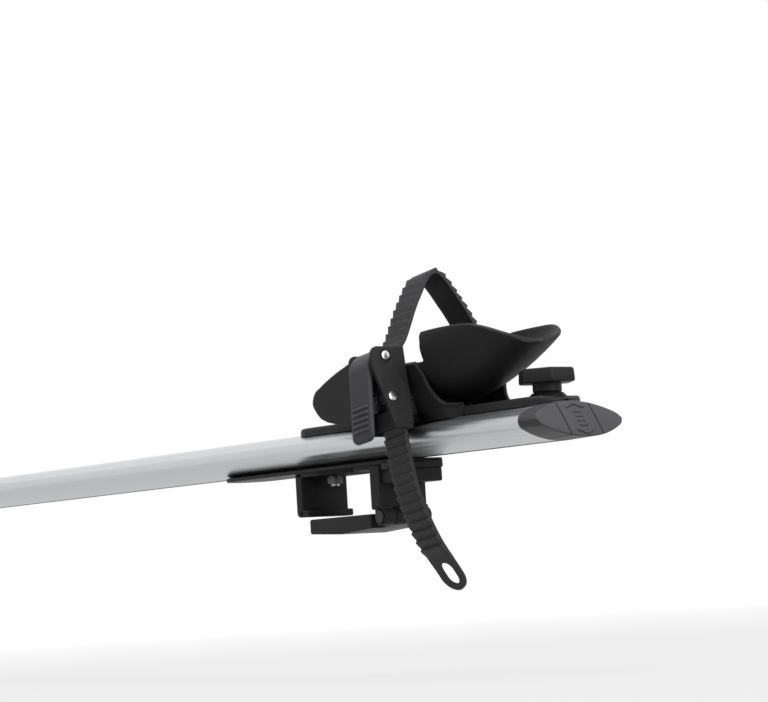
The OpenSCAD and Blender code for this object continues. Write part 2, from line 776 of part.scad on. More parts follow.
module tray() {
    difference() {
        union() {
            intersection() {
                translate([0, 0, panel_z]) linear_extrude(panel_drop) deck_outline();
                across(2*tongue_w) deck_side();
            }
            difference() {
                intersection() {
                    trough_sweep(trough_half);
                    across(2*trough_half) polygon(tray_outline);
                }
                trough_sweep(panel_in);
            }
            for (side = [0, 1]) mirror([0, side, 0]) {
                intersection() {
                    union() {
                        translate([-strap_in, 0, 0]) along_x(strap_in) panel_section();
                        translate([-strap_in - far, 0, 0]) along_x(far) wing_section();
                    }
                    across(2*far) panel_face();
                }
                translate([-strap_in, 0, 0]) along_x(2*boss_half, center = true) boss_section();
            }
            difference() {
                translate([-web_left, -web_half, deck_z - cut])
                    cube([web_left - web_right, 2*web_half, rim_h/2]);
                trough_sweep(panel_in);
            }
        }
        translate([-tongue_in - cut, 0, 0]) along_x(tongue_in + far) oval(slide_gap);
        translate([-tongue_in - far/2, -far/2, -far]) cube([2*far, far, far]);
        translate([-knob_in, 0, 0]) cylinder(r = bolt_r + slide_gap, h = neck_top);
        across(far) notch_face();
        fix_holes(1);
        at_lean() fix_holes(-1);
    }
}

module tray_knob() {
    bore_top = knob_top - knob_roof;
    difference() {
        union() {
            translate([-knob_in, 0, collar_top + slide_gap]) cylinder(d = neck_d, h = neck_h);
            translate([-knob_in, 0, neck_top]) rotate(180/knob_sides)
                cylinder(d1 = knob_d, d2 = knob_d - 1, h = knob_h, $fn = knob_sides);
        }
        translate([-knob_in, 0, 0]) cylinder(r = bolt_r + turn_gap, h = bore_top);
    }
}

module tray_collar() {
    translate([-knob_in, 0, deck_z]) difference() {
        cylinder(d1 = collar_d, d2 = neck_d + 1, h = collar_h);
        translate([0, 0, -cut]) cylinder(r = bolt_r + bolt_gap, h = collar_h + 2*cut);
    }
}

module tray_bolt() {
    head_top = lip_z - slide_gap;
    translate([-knob_in, 0, head_top])
        slot_bolt(tray_bolt_d, knob_top - knob_roof - slide_gap - head_top);
}

// Straps

// The tail's end: its middle, with Y along the strap and Z out of its face
module at_tail() {
    end = strap_at(strap_len);
    translate([-strap_in, end[0], end[1]]) rotate([tail_turn, 0, 0]) children();
}

// A stretch of the strap between two runs of its path
module strap_stretch(from, to) {
    steps = ceil((to - from)/2.5);
    plain_steps = 4;
    teeth = [for (i = [0 : teeth_n - 1]) teeth_from + i*tooth_pitch];
    along_x(strap_w, center = true) polygon(concat(
        [for (k = [0 : 3]) if (from < teeth_from) strap_off(from + (teeth_from - from)*k/4, band_t)],
        [for (s = teeth) if (s >= from && s + tooth_pitch <= to + 0.01) each
            [strap_off(s, band_t), strap_off(s + tooth_rise*tooth_pitch, band_t + tooth_h)]],
        [for (k = [0 : plain_steps]) if (to > teeth_to)
            strap_off(teeth_to + (to - teeth_to)*k/plain_steps, band_t)],
        [for (k = [steps : -1 : 0]) strap_at(from + (to - from)*k/steps)]));
}

module strap() {
    round_r = strap_w/2;
    difference() {
        union() {
            translate([-strap_in, 0, 0]) strap_stretch(0, teeth_from + tooth_pitch);
            at_lean() difference() {
                translate([-strap_in, 0, 0]) strap_stretch(teeth_from, strap_len);
                at_tail() linear_extrude(4*band_t, center = true) {
                    for (k = [0, 1]) translate([0, -pull_hole_in - k*pull_hole_len])
                        circle(d = pull_hole_d);
                    translate([-pull_hole_d/2, -pull_hole_in - pull_hole_len])
                        square([pull_hole_d, pull_hole_len]);
                    difference() {
                        translate([-strap_w, -round_r]) square([2*strap_w, 2*round_r]);
                        translate([0, -round_r]) circle(round_r);
                    }
                }
            }
        }
        for (side = [-1, 1]) translate([side*fix_x - strap_in, trough_half, fix_z])
            rod_y(fix_r + bolt_gap, 4*band_t);
    }
}

// Two screws along Y, their tips in the tray's boss: shank length outside the boss, and head height
module fix_screws(shank, head) {
    for (side = [-1, 1]) translate([side*fix_x - strap_in, trough_half, fix_z]) {
        translate([0, (shank - screw_fix_len)/2, 0]) rod_y(fix_r, screw_fix_len + shank);
        if (head > 0) translate([0, shank + head/2, 0]) rod_y(fix_head_r, head);
    }
}

module strap_screws() { fix_screws(band_t, fix_head_t); }

// Buckles

// A cheek's face in Y and Z
module cheek_face() {
    top_r = 5;
    foot_r = 3.5;
    foot_depth = 14.5;
    front = -trough_half - buckle_depth;
    difference() {
        polygon(concat(
            [[-trough_half, buckle_low], [-trough_half, buckle_top]],
            arc([front + top_r, buckle_top - top_r], top_r, 90, 180, 8),
            [[front, buckle_low + 0.73*buckle_h]],
            arc([foot_r - trough_half - foot_depth, buckle_low + foot_r], foot_r, 200, 270, 6)));
        for (pin = [lever_pin, pawl_pin]) translate(pin) circle(pin_d/2 + bolt_gap);
    }
}

module buckle() {
    translate([-strap_in, 0, 0]) {
        for (side = [-1, 1]) translate([side*(cheek_in + cheek_t/2), 0, 0]) difference() {
            along_x(cheek_t, center = true) cheek_face();
            translate([side*(cheek_t/2 + head_t/2), recess_at[0], recess_at[1]])
                rod_x(recess_r, 3*head_t);
        }
        difference() {
            translate([-cheek_in - cut/2, -back_y, buckle_low])
                cube([2*cheek_in + cut, buckle_back, notch_z - buckle_low]);
            for (side = [-1, 1]) translate([side*fix_x, -trough_half, fix_z])
                rod_y(fix_r + bolt_gap, 4*buckle_back);
        }
        // The gate in front of the strap's teeth
        translate([-cheek_in - cut/2, -gate_y - gate_t, gate_low])
            cube([2*cheek_in + cut, gate_t, gate_top - gate_low]);
    }
}

// Flush screws under the strap
module buckle_screws() { mirror([0, 1, 0]) fix_screws(buckle_back, 0); }

module buckle_lever() {
    outer = lever_pin[0] - 11.6;
    tip_z = lever_pin[1] - lever_drop;
    tip_r = lever_t/2;
    ribs = 5;
    rib_pitch = 3.4;
    rib_r = 1.1;
    rib_low = 5.7;
    lean = -3.6;
    bend_r = 14;
    shoulder = [outer + bend_r, lever_pin[1] - 8.5];
    blade = shoulder[1] - tip_z - tip_r;
    difference() {
        translate([-strap_in, 0, 0]) {
            along_x(lever_w, center = true) {
                translate(lever_pin) circle(lever_hub_r);
                polygon(concat(
                    [lever_pin + lever_hub_r*[cos(65), sin(65)]],
                    arc(shoulder, bend_r, 100, 180, 8),
                    [[outer + lean, tip_z + tip_r], [outer + lean + lever_t, tip_z + tip_r]],
                    [[outer + lever_t, shoulder[1] - 3]],
                    [lever_pin + lever_hub_r*[cos(235), sin(235)]]));
                translate([outer + lean + tip_r, tip_z + tip_r]) circle(tip_r);
            }
            for (k = [0 : ribs - 1]) let (rise = rib_low + k*rib_pitch)
                translate([0, outer + lean*(1 - rise/blade) + 0.2, tip_z + tip_r + rise])
                    rod_x(rib_r, lever_w - 3);
        }
        translate([-strap_in, lever_pin[0], lever_pin[1]]) rod_x(pin_d/2 + turn_gap, lever_w + 2*cut);
    }
}

module lever_pin_node() {
    translate([-strap_in, lever_pin[0], lever_pin[1]]) pin_x(cheek_out - head_t);
}

module pawl() {
    tip = [-(back_y + band_t + tooth_h + slide_gap + 0.2), pawl_pin[1] + 9];
    tab = pawl_pin + [-6.5, -7];
    difference() {
        translate([-strap_in, 0, 0]) along_x(pawl_w, center = true) {
            translate(pawl_pin) circle(pawl_hub_r);
            polygon([pawl_pin + [0.4, pawl_hub_r - 1], tip, tip + [-1.6, 0.3],
                     pawl_pin + [0.6 - pawl_hub_r, 1]]);
            polygon([pawl_pin + [0.4 - pawl_hub_r, 0], tab, tab + [1.6, -1],
                     pawl_pin + [0, 0.4 - pawl_hub_r]]);
        }
        translate([-strap_in, pawl_pin[0], pawl_pin[1]]) rod_x(pin_d/2 + turn_gap, pawl_w + 2*cut);
    }
}

module pawl_pin_node() {
    translate([-strap_in, pawl_pin[0], pawl_pin[1]]) pin_x(cheek_out);
}

// The pawl's spring: one round wire wound beside the pawl, as a tube of six sides
coil_r = pin_d/2 + spring_wire/2 + 0.35;
coil_steps = 10;
coil_sides = 6;
coil_pitch = spring_wire + 0.5;
coil_n = spring_turns*coil_steps;
coil_line = [
    for (k = [0 : coil_n]) let (a = 360*k/coil_steps)
        [coil_pitch*k/coil_steps, coil_r*cos(a), coil_r*sin(a)]
];
coil_ring = [
    for (k = [0 : coil_n]) for (j = [0 : coil_sides - 1])
        let (a = 360*k/coil_steps, b = 360*j/coil_sides, r = coil_r + spring_wire/2*cos(b))
            [coil_pitch*k/coil_steps + spring_wire/2*sin(b), r*cos(a), r*sin(a)]
];
coil_faces = [
    [for (j = [0 : coil_sides - 1]) j],
    [for (j = [coil_sides - 1 : -1 : 0]) coil_n*coil_sides + j],
    for (k = [0 : coil_n - 1]) for (j = [0 : coil_sides - 1])
        let (a = k*coil_sides + j, b = k*coil_sides + (j + 1) % coil_sides)
            each [[a, a + coil_sides, b], [b, a + coil_sides, b + coil_sides]]
];
echo(least_spring_gap = min([
    for (i = [0 : coil_n]) for (j = [i + coil_steps/2 : coil_n]) norm(coil_line[i] - coil_line[j])
]) - spring_wire);

module pawl_spring() {
    translate([-strap_in + pawl_w/2 + spring_wire/2 + 0.3, pawl_pin[0], pawl_pin[1]])
        polyhedron(coil_ring, coil_faces);
}

module rear_tray() color(charcoal) at_end("rear") tray();
module rear_tray_knob() color(black) at_end("rear") tray_knob();
module rear_tray_collar() color(black) at_end("rear") tray_collar();
module rear_tray_bolt() color(steel) at_end("rear") tray_bolt();
module rear_strap() color(black) at_end("rear") strap();
module rear_strap_screws() color(steel) at_end("rear") strap_screws();
module rear_buckle() color(charcoal) at_end("rear") at_lean() buckle();
module rear_buckle_screws() color(steel) at_end("rear") at_lean() buckle_screws();
module rear_buckle_lever() color(charcoal) at_end("rear") at_lean() buckle_lever();
module rear_lever_pin() color(steel) at_end("rear") at_lean() lever_pin_node();
module rear_pawl() color(black) at_end("rear") at_lean() pawl();
module rear_pawl_pin() color(steel) at_end("rear") at_lean() pawl_pin_node();
module rear_pawl_spring() color(steel) at_end("rear") at_lean() pawl_spring();
module front_tray() color(charcoal) at_end("front") tray();
module front_tray_knob() color(black) at_end("front") tray_knob();
module front_tray_collar() color(black) at_end("front") tray_collar();
module front_tray_bolt() color(steel) at_end("front") tray_bolt();
module front_strap() color(black) at_end("front") strap();
module front_strap_screws() color(steel) at_end("front") strap_screws();
module front_buckle() color(charcoal) at_end("front") at_lean() buckle();
module front_buckle_screws() color(steel) at_end("front") at_lean() buckle_screws();
module front_buckle_lever() color(charcoal) at_end("front") at_lean() buckle_lever();
module front_lever_pin() color(steel) at_end("front") at_lean() lever_pin_node();
module front_pawl() color(black) at_end("front") at_lean() pawl();
module front_pawl_pin() color(steel) at_end("front") at_lean() pawl_pin_node();
module front_pawl_spring() color(steel) at_end("front") at_lean() pawl_spring();

// Frame arm

module arm_base() color(charcoal) difference() {
    union() {
        translate([arm_x - base_len/2, -tongue_r, rail_z]) cube([base_len, tongue_w, deck_z]);
        for (side = [-1, 1]) translate([arm_x, side*(ear_gap + base_ear_t)/2, 0]) across(base_ear_t) {
            translate([0, pivot_z]) circle(base_ear_r);
            polygon([[-base_ear_r - ear_flare, deck_top - cut], [-base_ear_r, pivot_z],
                     [base_ear_r, pivot_z], [base_ear_r + ear_flare, deck_top - cut]]);
        }
    }
    translate([arm_x - base_len, 0, rail_z]) along_x(2*base_len) oval();
    translate([arm_x, 0, pivot_z]) rod_y(pivot_d/2 + bolt_gap, 2*tongue_w);
    for (side = [-1, 1]) translate([arm_x + side*base_bolt_x, 0, rail_z])
        cylinder(r = clamp_bolt_d/2 + bolt_gap, h = rail_h);
}

module arm_base_bolts() color(steel)
    for (side = [-1, 1]) translate([arm_x + side*base_bolt_x, 0, rail_z + lip_z - slide_gap])
        slot_bolt(clamp_bolt_d, deck_z - lip_z + slide_gap + nut_h + nut_end);

module arm_base_nuts() color(steel)
    for (side = [-1, 1]) translate([arm_x + side*base_bolt_x, 0, deck_top]) hex_nut(clamp_bolt_d);

module arm_pivot_bolt() color(steel) translate([arm_x, 0, pivot_z]) {
    grip = ear_gap + 2*base_ear_t;
    bolt_head_h = 5;
    rod_y(pivot_d/2, grip);
    for (side = [-1, 1]) translate([0, side*(grip + bolt_head_h)/2, 0]) rotate([90, 0, 0])
        cylinder(d = pivot_d*1.7, h = bolt_head_h, center = true, $fn = 6);
}

module arm_knuckle() color(charcoal) at_arm() difference() {
    union() {
        rod_y(knuckle_r, knuckle_w);
        cylinder(r = knuckle_w/2, h = socket_from + cut);
        translate([0, 0, socket_from]) cylinder(r1 = knuckle_w/2, r2 = socket_r, h = socket_depth/2);
        translate([0, 0, socket_from + socket_depth/2]) cylinder(r = socket_r, h = socket_depth);
    }
    rod_y(pivot_d/2 + turn_gap, 2*tongue_w);
    translate([0, 0, socket_from + socket_depth/2]) cylinder(d = arm_d, h = 2*socket_depth);
}

module arm_tube() color(silver) at_arm() {
    low = socket_from + socket_depth/2;
    translate([0, 0, low]) difference() {
        cylinder(d = arm_d, h = arm_len - low - 6);
        translate([0, 0, -cut]) cylinder(d = arm_d - 2*arm_wall, h = arm_len);
    }
}

// One jaw's outline in Y and Z, on the -Y side
module jaw_face(low) {
    difference() {
        union() {
            translate([0, tube_z]) circle(jaw_r + jaw_t);
            translate([-foot_to, low]) square([foot_to - foot_from, tube_z - low]);
        }
        translate([0, tube_z]) circle(jaw_r);
        translate([-mouth_y, tube_z - far/2]) square([far, far]);
        translate([-far/2, low - far]) square([far, far]);
    }
}

module claw_body() color(charcoal) at_arm() difference() {
    bar_len = rail_end + rail_stop + foot_to;
    union() {
        along_x(jaw_w, center = true) jaw_face(arm_len + claw_bar_h - cut);
        translate([-claw_rail_out, -foot_to, arm_len]) cube([2*claw_rail_out, bar_len, claw_bar_h]);
        translate([0, 0, arm_len - socket_depth]) cylinder(r = socket_r, h = socket_depth);
    }
    translate([-claw_rail_in, -foot_from, arm_len + 3])
        cube([2*claw_rail_in, foot_from + rail_end, claw_bar_h]);
    translate([0, 0, screw_z]) rod_y(screw_d/2 + turn_gap, far);
    translate([0, 0, arm_len - far - 6]) cylinder(d = arm_d, h = far);
}

module claw_jaw() color(charcoal) at_arm() difference() {
    union() {
        mirror([0, 1, 0]) along_x(jaw_w, center = true) jaw_face(arm_len + claw_bar_h + slide_gap);
        translate([-claw_rail_in + slide_gap, foot_from, arm_len + 3 + slide_gap])
            cube([2*(claw_rail_in - slide_gap), foot_to - foot_from, claw_bar_h]);
    }
    translate([0, 0, screw_z]) rod_y(screw_d/2 + turn_gap, far);
}

// A pad inside one jaw, on the -Y side
module claw_pad() {
    along_x(jaw_w, center = true) difference() {
        translate([0, tube_z]) circle(jaw_r);
        translate([0, tube_z]) circle(tube_d/2);
        translate([-mouth_y, tube_z - far/2]) square([far, far]);
    }
}

module claw_fixed_pad() color(rubber) at_arm() claw_pad();
module claw_moving_pad() color(rubber) at_arm() mirror([0, 1, 0]) claw_pad();

module claw_screw() color(steel) at_arm()
    translate([0, (rail_end + rail_stop + knob_face - claw_knob_h/2)/2, screw_z])
        rod_y(screw_d/2, rail_end + rail_stop - knob_face + claw_knob_h/2);

module claw_knob() color(black) at_arm() difference() {
    translate([0, knob_face, screw_z]) rotate([90, 0, 0]) union() {
        cylinder(d = claw_knob_d*0.55, h = 4);
        translate([0, 0, 4 - cut]) knob_head(claw_knob_d, claw_knob_h - 4 + cut, 8);
    }
    translate([0, knob_face, screw_z]) rod_y(screw_d/2, claw_knob_h);
    translate([0, knob_face - claw_knob_h, screw_z]) rod_y(lock_d/2 + bolt_gap, claw_knob_h - 4);
}

module claw_lock() color(steel) at_arm() {
    lock_len = claw_knob_h/2 - 2;
    key_w = 1.4;
    key_h = 7;
    translate([0, knob_face - claw_knob_h + lock_len/2, screw_z]) difference() {
        rod_y(lock_d/2, lock_len);
        translate([-key_w/2, -lock_len, -key_h/2]) cube([key_w, lock_len, key_h]);
    }
}

rail();
rear_cap();
front_cap();
rear_clamp_plate();
rear_clamp_pad();
rear_clamp_post();
rear_clamp_hook();
rear_clamp_lever();
rear_clamp_pin();
rear_clamp_bolts();
rear_clamp_nuts();
front_clamp_plate();
front_clamp_pad();
front_clamp_post();
front_clamp_hook();
front_clamp_lever();
front_clamp_pin();
front_clamp_bolts();
front_clamp_nuts();
rear_tray();
rear_tray_knob();
rear_tray_collar();
rear_tray_bolt();
rear_strap();
rear_strap_screws();
rear_buckle();
rear_buckle_screws();
rear_buckle_lever();
rear_lever_pin();
rear_pawl();
rear_pawl_pin();
rear_pawl_spring();
front_tray();
front_tray_knob();
front_tray_collar();
front_tray_bolt();
front_strap();
front_strap_screws();
front_buckle();
front_buckle_screws();
front_buckle_lever();
front_lever_pin();
front_pawl();
front_pawl_pin();
front_pawl_spring();
arm_base();
arm_base_bolts();
arm_base_nuts();
arm_pivot_bolt();
arm_knuckle();
arm_tube();
claw_body();
claw_jaw();
claw_fixed_pad();
claw_moving_pad();
claw_screw();
claw_knob();
claw_lock();
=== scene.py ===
# %% [markdown]
# # A carrier with a rail, two trays and a folding arm
# An oval rail stands on two clamps. A tray with a ratchet strap sits near each end of the rail,
# and a folding arm between them ends in a claw. The solids come from the CAD frame, in metres.
# They could be rendered as they are, but their edges are sharp and their faces plain. So each
# piece is made again here, with rounded edges, surface detail and a finish, and rides on its body.

import bmesh
import bpy
import numpy as np
from mathutils import Matrix, Vector


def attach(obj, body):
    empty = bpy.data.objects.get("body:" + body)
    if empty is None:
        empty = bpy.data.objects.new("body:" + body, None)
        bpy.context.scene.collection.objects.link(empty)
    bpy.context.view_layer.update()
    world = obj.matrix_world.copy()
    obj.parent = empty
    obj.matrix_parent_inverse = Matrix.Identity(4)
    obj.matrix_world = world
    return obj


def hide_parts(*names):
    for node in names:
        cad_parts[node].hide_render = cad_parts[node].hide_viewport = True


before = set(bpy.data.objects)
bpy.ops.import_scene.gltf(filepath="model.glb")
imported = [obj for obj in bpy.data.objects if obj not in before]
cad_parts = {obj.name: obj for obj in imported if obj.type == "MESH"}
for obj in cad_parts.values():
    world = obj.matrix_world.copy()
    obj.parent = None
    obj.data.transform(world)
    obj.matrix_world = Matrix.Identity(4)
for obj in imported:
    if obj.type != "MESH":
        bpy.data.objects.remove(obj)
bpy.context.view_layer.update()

# %% [markdown]
# Every shape below is written in millimetres in a handy frame of its own: the end of the rail for
# a tray, the seat of the pad for a clamp, the pivot for the arm. An object's location could carry
# it into place, but a finished piece has to sit at the origin. So a place function carries the
# points themselves into the carrier's frame, and the front tray is the rear one in a mirror.

# %% Places
MM = 0.001
SIDES = -1, 1
REAR_END, FRONT_END, RAIL_Z, SEAT_SPREAD = 200.0, -1100.0, 16.5, 700.0
ARM_X, ARM_Z, ARM_LEAN = -670.0, 55.0, np.radians(20.0)


def at_rear(p):
    """Rail's rear end: a plain shift."""
    return p + [REAR_END, 0, RAIL_Z]


def at_front(p):
    """Rail's front end: X changes sign, then a shift."""
    return p * [-1, 1, 1] + [FRONT_END, 0, RAIL_Z]


def at_rear_seat(p):
    """The rear clamp's seat: the carrier's own origin."""
    return p


def at_front_seat(p):
    """The front clamp's seat: a shift along the rail."""
    return p - [SEAT_SPREAD, 0, 0]


def turn_y(p, angle):
    """A turn about Y: x' = x cos + z sin, z' = z cos - x sin."""
    c, s = np.cos(angle), np.sin(angle)
    return np.stack([p[:, 0]*c + p[:, 2]*s, p[:, 1], p[:, 2]*c - p[:, 0]*s], 1)


def at_arm(p):
    """The arm's pivot, with Z along the arm."""
    return turn_y(p, ARM_LEAN) + [ARM_X, 0, ARM_Z]


ENDS = {"rear": (at_rear, at_rear_seat), "front": (at_front, at_front_seat)}
print("rail ends at", at_rear(np.zeros(3)), at_front(np.zeros(3)))

# %% [markdown]
# A surface is a grid of points: rows along one parameter, columns along the other. Primitives and
# modifiers could make many of these shapes, but whole arrays give all points in one step, and the
# quads between neighbours are index arithmetic. A shell is its points and a short list of face
# arrays, so shells are joined, moved and mirrored as arrays too.

# %% Grids
def quads(rows, cols, ring=False):
    """Corner numbers of each cell of a grid; ring joins the last column to the first."""
    i = np.arange(rows - 1)[:, None]
    j = np.arange(cols if ring else cols - 1)[None, :]
    k = (j + 1) % cols
    cells = np.broadcast_arrays(i*cols + j, i*cols + k, (i + 1)*cols + k, (i + 1)*cols + j)
    return np.stack(cells, -1).reshape(-1, 4)


def tube(p):
    """A grid of closed rings, one per row, with a flat lid on the first and the last."""
    rows, cols = p.shape[:2]
    number = np.arange(rows*cols).reshape(rows, cols)
    return p.reshape(-1, 3), [quads(rows, cols, ring=True), number[:1], number[-1:]]


def join(*shells):
    """Several shells as one: their points in a row, their corner numbers moved on."""
    starts = np.cumsum([0] + [len(points) for points, _ in shells[:-1]])
    faces = [face + start for (_, own), start in zip(shells, starts) for face in own]
    return np.concatenate([points for points, _ in shells]), faces


def shift(shell, x=0.0, y=0.0, z=0.0):
    """The same shell, moved."""
    return shell[0] + [x, y, z], shell[1]


def mirror(shell, axis):
    """The same shell with the sign of one coordinate changed."""
    return shell[0]*[-1 if axis == k else 1 for k in "xyz"], shell[1]


def lay(shell, start, way=1):
    """An upright shell laid along Y: y' = start + way z, z' = y."""
    x, y, z = shell[0].T
    return np.stack([x, start + way*z, y], 1), shell[1]


print("a ring of 3 by 4 points has", len(quads(3, 4, ring=True)), "quads")

# %% [markdown]
# Most mouldings are plates and blocks with soft edges, and each starts as an outline in its own
# plane. Its corners could be true arcs, which need a centre each. A bow, a curve that is drawn
# towards the corner, looks the same at this size and comes for all corners at once.

# %% Outlines
def oblong(a0, a1, b0, b1):
    """The four corners of a rectangle."""
    return np.array([[a0, b0], [a1, b0], [a1, b1], [a0, b1]], float)


def bow(a, b, c, t):
    """Curves from each a, towards its b, to its c: (1 - t)^2 a + 2t(1 - t) b + t^2 c."""
    t = t[None, :, None]
    return (1 - t)**2*a[:, None] + 2*t*(1 - t)*b[:, None] + t*t*c[:, None]


def corners(points, radii, steps=5):
    """Rounds each corner with a bow between its tangent points, which lie r/tan(half angle) away,
    but at least 0.02 mm and at most 0.49 of the shorter edge."""
    p = np.asarray(points, float)
    r = np.broadcast_to(np.asarray(radii, float), len(p))
    a, b = np.roll(p, 1, 0) - p, np.roll(p, -1, 0) - p
    la, lb = np.linalg.norm(a, axis=1), np.linalg.norm(b, axis=1)
    cosine = np.clip((a*b).sum(1)/(la*lb), -0.9999, 0.9999)
    reach = r/np.tan(np.arccos(cosine)/2)
    reach = np.clip(reach, 0.02, 0.49*np.minimum(la, lb))[:, None]
    start, end = p + a/la[:, None]*reach, p + b/lb[:, None]*reach
    return bow(start, p, end, np.linspace(0, 1, steps)).reshape(-1, 2)


print("a rounded square has", len(corners(oblong(0, 9, 0, 9), 2)), "points")

# %% [markdown]
# Next the outline gets a thickness. The Bevel modifier could soften the edges of an extruded face,
# but it folds over on narrow outlines. Here the outline is carried through a stack of rings that
# draw in along a quarter circle at both faces.

# %% Slabs
LID_IN, MITRE_LEAST = 0.12, 0.35


def anticlockwise(outline):
    """The outline in anticlockwise order, by the sign of its area."""
    x, y = outline.T
    area = (x*np.roll(y, -1) - y*np.roll(x, -1)).sum()
    return outline if area > 0 else outline[::-1]


def inset(outline, d):
    """Each point moves inwards by d, square to both of its edges (a mitred offset). Neighbours that
    would pass each other at a tight corner meet in their middle instead."""
    edge = np.roll(outline, -1, 0) - outline
    normal = np.stack([edge[:, 1], -edge[:, 0]], 1)/np.linalg.norm(edge, axis=1, keepdims=True)
    mitre = normal + np.roll(normal, 1, 0)
    moved = outline - d*mitre/np.maximum((mitre*mitre).sum(1, keepdims=True)/2, MITRE_LEAST)
    for _ in range(6):
        middle = (moved + np.roll(moved, -1, 0))/2
        passed = (((np.roll(moved, -1, 0) - moved)*edge).sum(1) < 0)[:, None]
        moved = np.where(passed, middle, moved)
        moved = np.where(np.roll(passed, 1, 0), np.roll(middle, 1, 0), moved)
    return moved


def slab(outline, depth, axis, edge=0.8, steps=4, rings=0):
    """An outline with thickness: rings that follow a quarter circle in at both faces' edges.
    axis is the direction of the depth; the outline lies in the other two, in X, Y, Z order."""
    outline = anticlockwise(np.asarray(outline, float))
    a = np.linspace(0, np.pi/2, steps)
    ins = np.r_[edge + LID_IN, edge*(1 - np.sin(a))]
    rise = np.r_[0, edge*(1 - np.cos(a))]
    middle = np.linspace(edge - depth/2, depth/2 - edge, rings + 2)[1:-1]
    high = np.r_[-depth/2 + rise, middle, (depth/2 - rise)[::-1]]
    flat = np.stack([inset(outline, d) for d in np.r_[ins, np.zeros(rings), ins[::-1]]])
    w = np.broadcast_to(high[:, None], flat.shape[:2])
    order = {"x": (w, flat[..., 0], flat[..., 1]), "y": (flat[..., 0], w, flat[..., 1]),
             "z": (flat[..., 0], flat[..., 1], w)}[axis]
    return tube(np.stack(order, -1))


print("a test slab has", len(slab(oblong(0, 9, 0, 9), 4, "z")[0]), "points")

# %% [markdown]
# Knobs, pins, nuts and sockets are turned: a profile of radius and height goes round an axis. The
# Screw modifier would do the same, but the array can also take flats. The radius of a polygon, by
# angle, is blended in row by row, so that a round neck and a six-sided head are one surface.

# %% Turned shapes
def lathe(profile, axis="z", turns=48, facets=0, weight=None):
    """A profile of (radius, height) turned about an axis: x = r cos, y = r sin. With facets, the
    radius also follows a polygon's: r cos(half)/cos(angle from the nearest flat), by weight, and
    the corners stop at 0.98 r."""
    r, z = np.asarray(profile, float).T
    angle = np.linspace(0, 2*np.pi, turns, endpoint=False)
    r = np.repeat(r[:, None], turns, 1)
    if facets:
        half = np.pi/facets
        flat = np.minimum(np.cos(half)/np.cos((angle + half) % (2*half) - half), 0.98)
        r = r*(1 + np.asarray(weight)[:, None]*(flat - 1))
    ring = np.stack([r*np.cos(angle), r*np.sin(angle), np.repeat(z[:, None], turns, 1)], -1)
    order = {"z": (0, 1, 2), "x": (2, 0, 1), "y": (1, 2, 0)}[axis]
    return tube(ring[..., order])


def bead(r, half, edge=0.6, steps=4):
    """Profile of a rod with rounded ends: a straight side, quarter circles and flat ends."""
    a = np.linspace(0, np.pi/2, steps)
    side = np.stack([r - edge + edge*np.cos(a), half - edge + edge*np.sin(a)], 1)
    end = np.stack([(r - edge)*np.linspace(0.75, 0.02, 4), np.full(4, half)], 1)
    top = np.concatenate([side, end])
    return np.concatenate([top[::-1]*[1, -1], top])


print("a test rod has", len(lathe(bead(3, 10))[0]), "points")

# %% [markdown]
# The tray's trough and side panels are thin walls. Solidify could thicken them, but its rims are
# square, and a moulded wall has round ones. So a sheet gets a second grid behind it, along its
# normals, and a half round that joins the two along the free edges.

# %% Sheets
def unit(v):
    """Vectors of length 1 along v."""
    return v/np.maximum(np.linalg.norm(v, axis=-1, keepdims=True), 1e-9)


def sheet(p, thick, steps=5):
    """A grid with a thickness: a second grid at p - thick*normal, and a half round along the free
    edges, centre + thick/2*(cos normal + sin outwards)."""
    rows, cols = p.shape[:2]
    n = unit(np.cross(np.gradient(p, axis=0), np.gradient(p, axis=1)))
    out = np.zeros_like(p)
    out[-1] += p[-1] - p[-2]
    out[0] += p[0] - p[1]
    out[:, 0] += p[:, 0] - p[:, 1]
    out[:, -1] += p[:, -1] - p[:, -2]
    number = np.arange(rows*cols).reshape(rows, cols)
    loop = np.r_[number[0], number[1:, -1], number[-1, -2::-1], number[-2:0:-1, 0]]
    flat, normal, away = (g.reshape(-1, 3)[loop] for g in (p, n, out))
    away = unit(away - (away*normal).sum(1, keepdims=True)*normal)
    a = np.linspace(0, np.pi, steps)[:, None, None]
    rim = flat - thick/2*normal + thick/2*(np.cos(a)*normal + np.sin(a)*away)
    face = [quads(rows, cols)]
    return join((p.reshape(-1, 3), face), ((p - thick*n).reshape(-1, 3), face),
                (rim.reshape(-1, 3), [quads(steps, len(loop), ring=True)]))


flat = np.stack(np.meshgrid(np.arange(4.0), np.arange(3.0), [0.0], indexing="ij"), -1)[:, :, 0]
print("a test sheet of 4 by 3 has", len(sheet(flat, 1)[0]), "points")

# %% [markdown]
# A finished shell becomes an object in one place. Double points are merged, faces are turned to
# look outwards, and edges sharper than a set angle stay crisp. The object rides on its body and
# hides the CAD node that it stands for.

# %% From shell to piece
MERGE, SLIVER = 2e-6, 1e-6


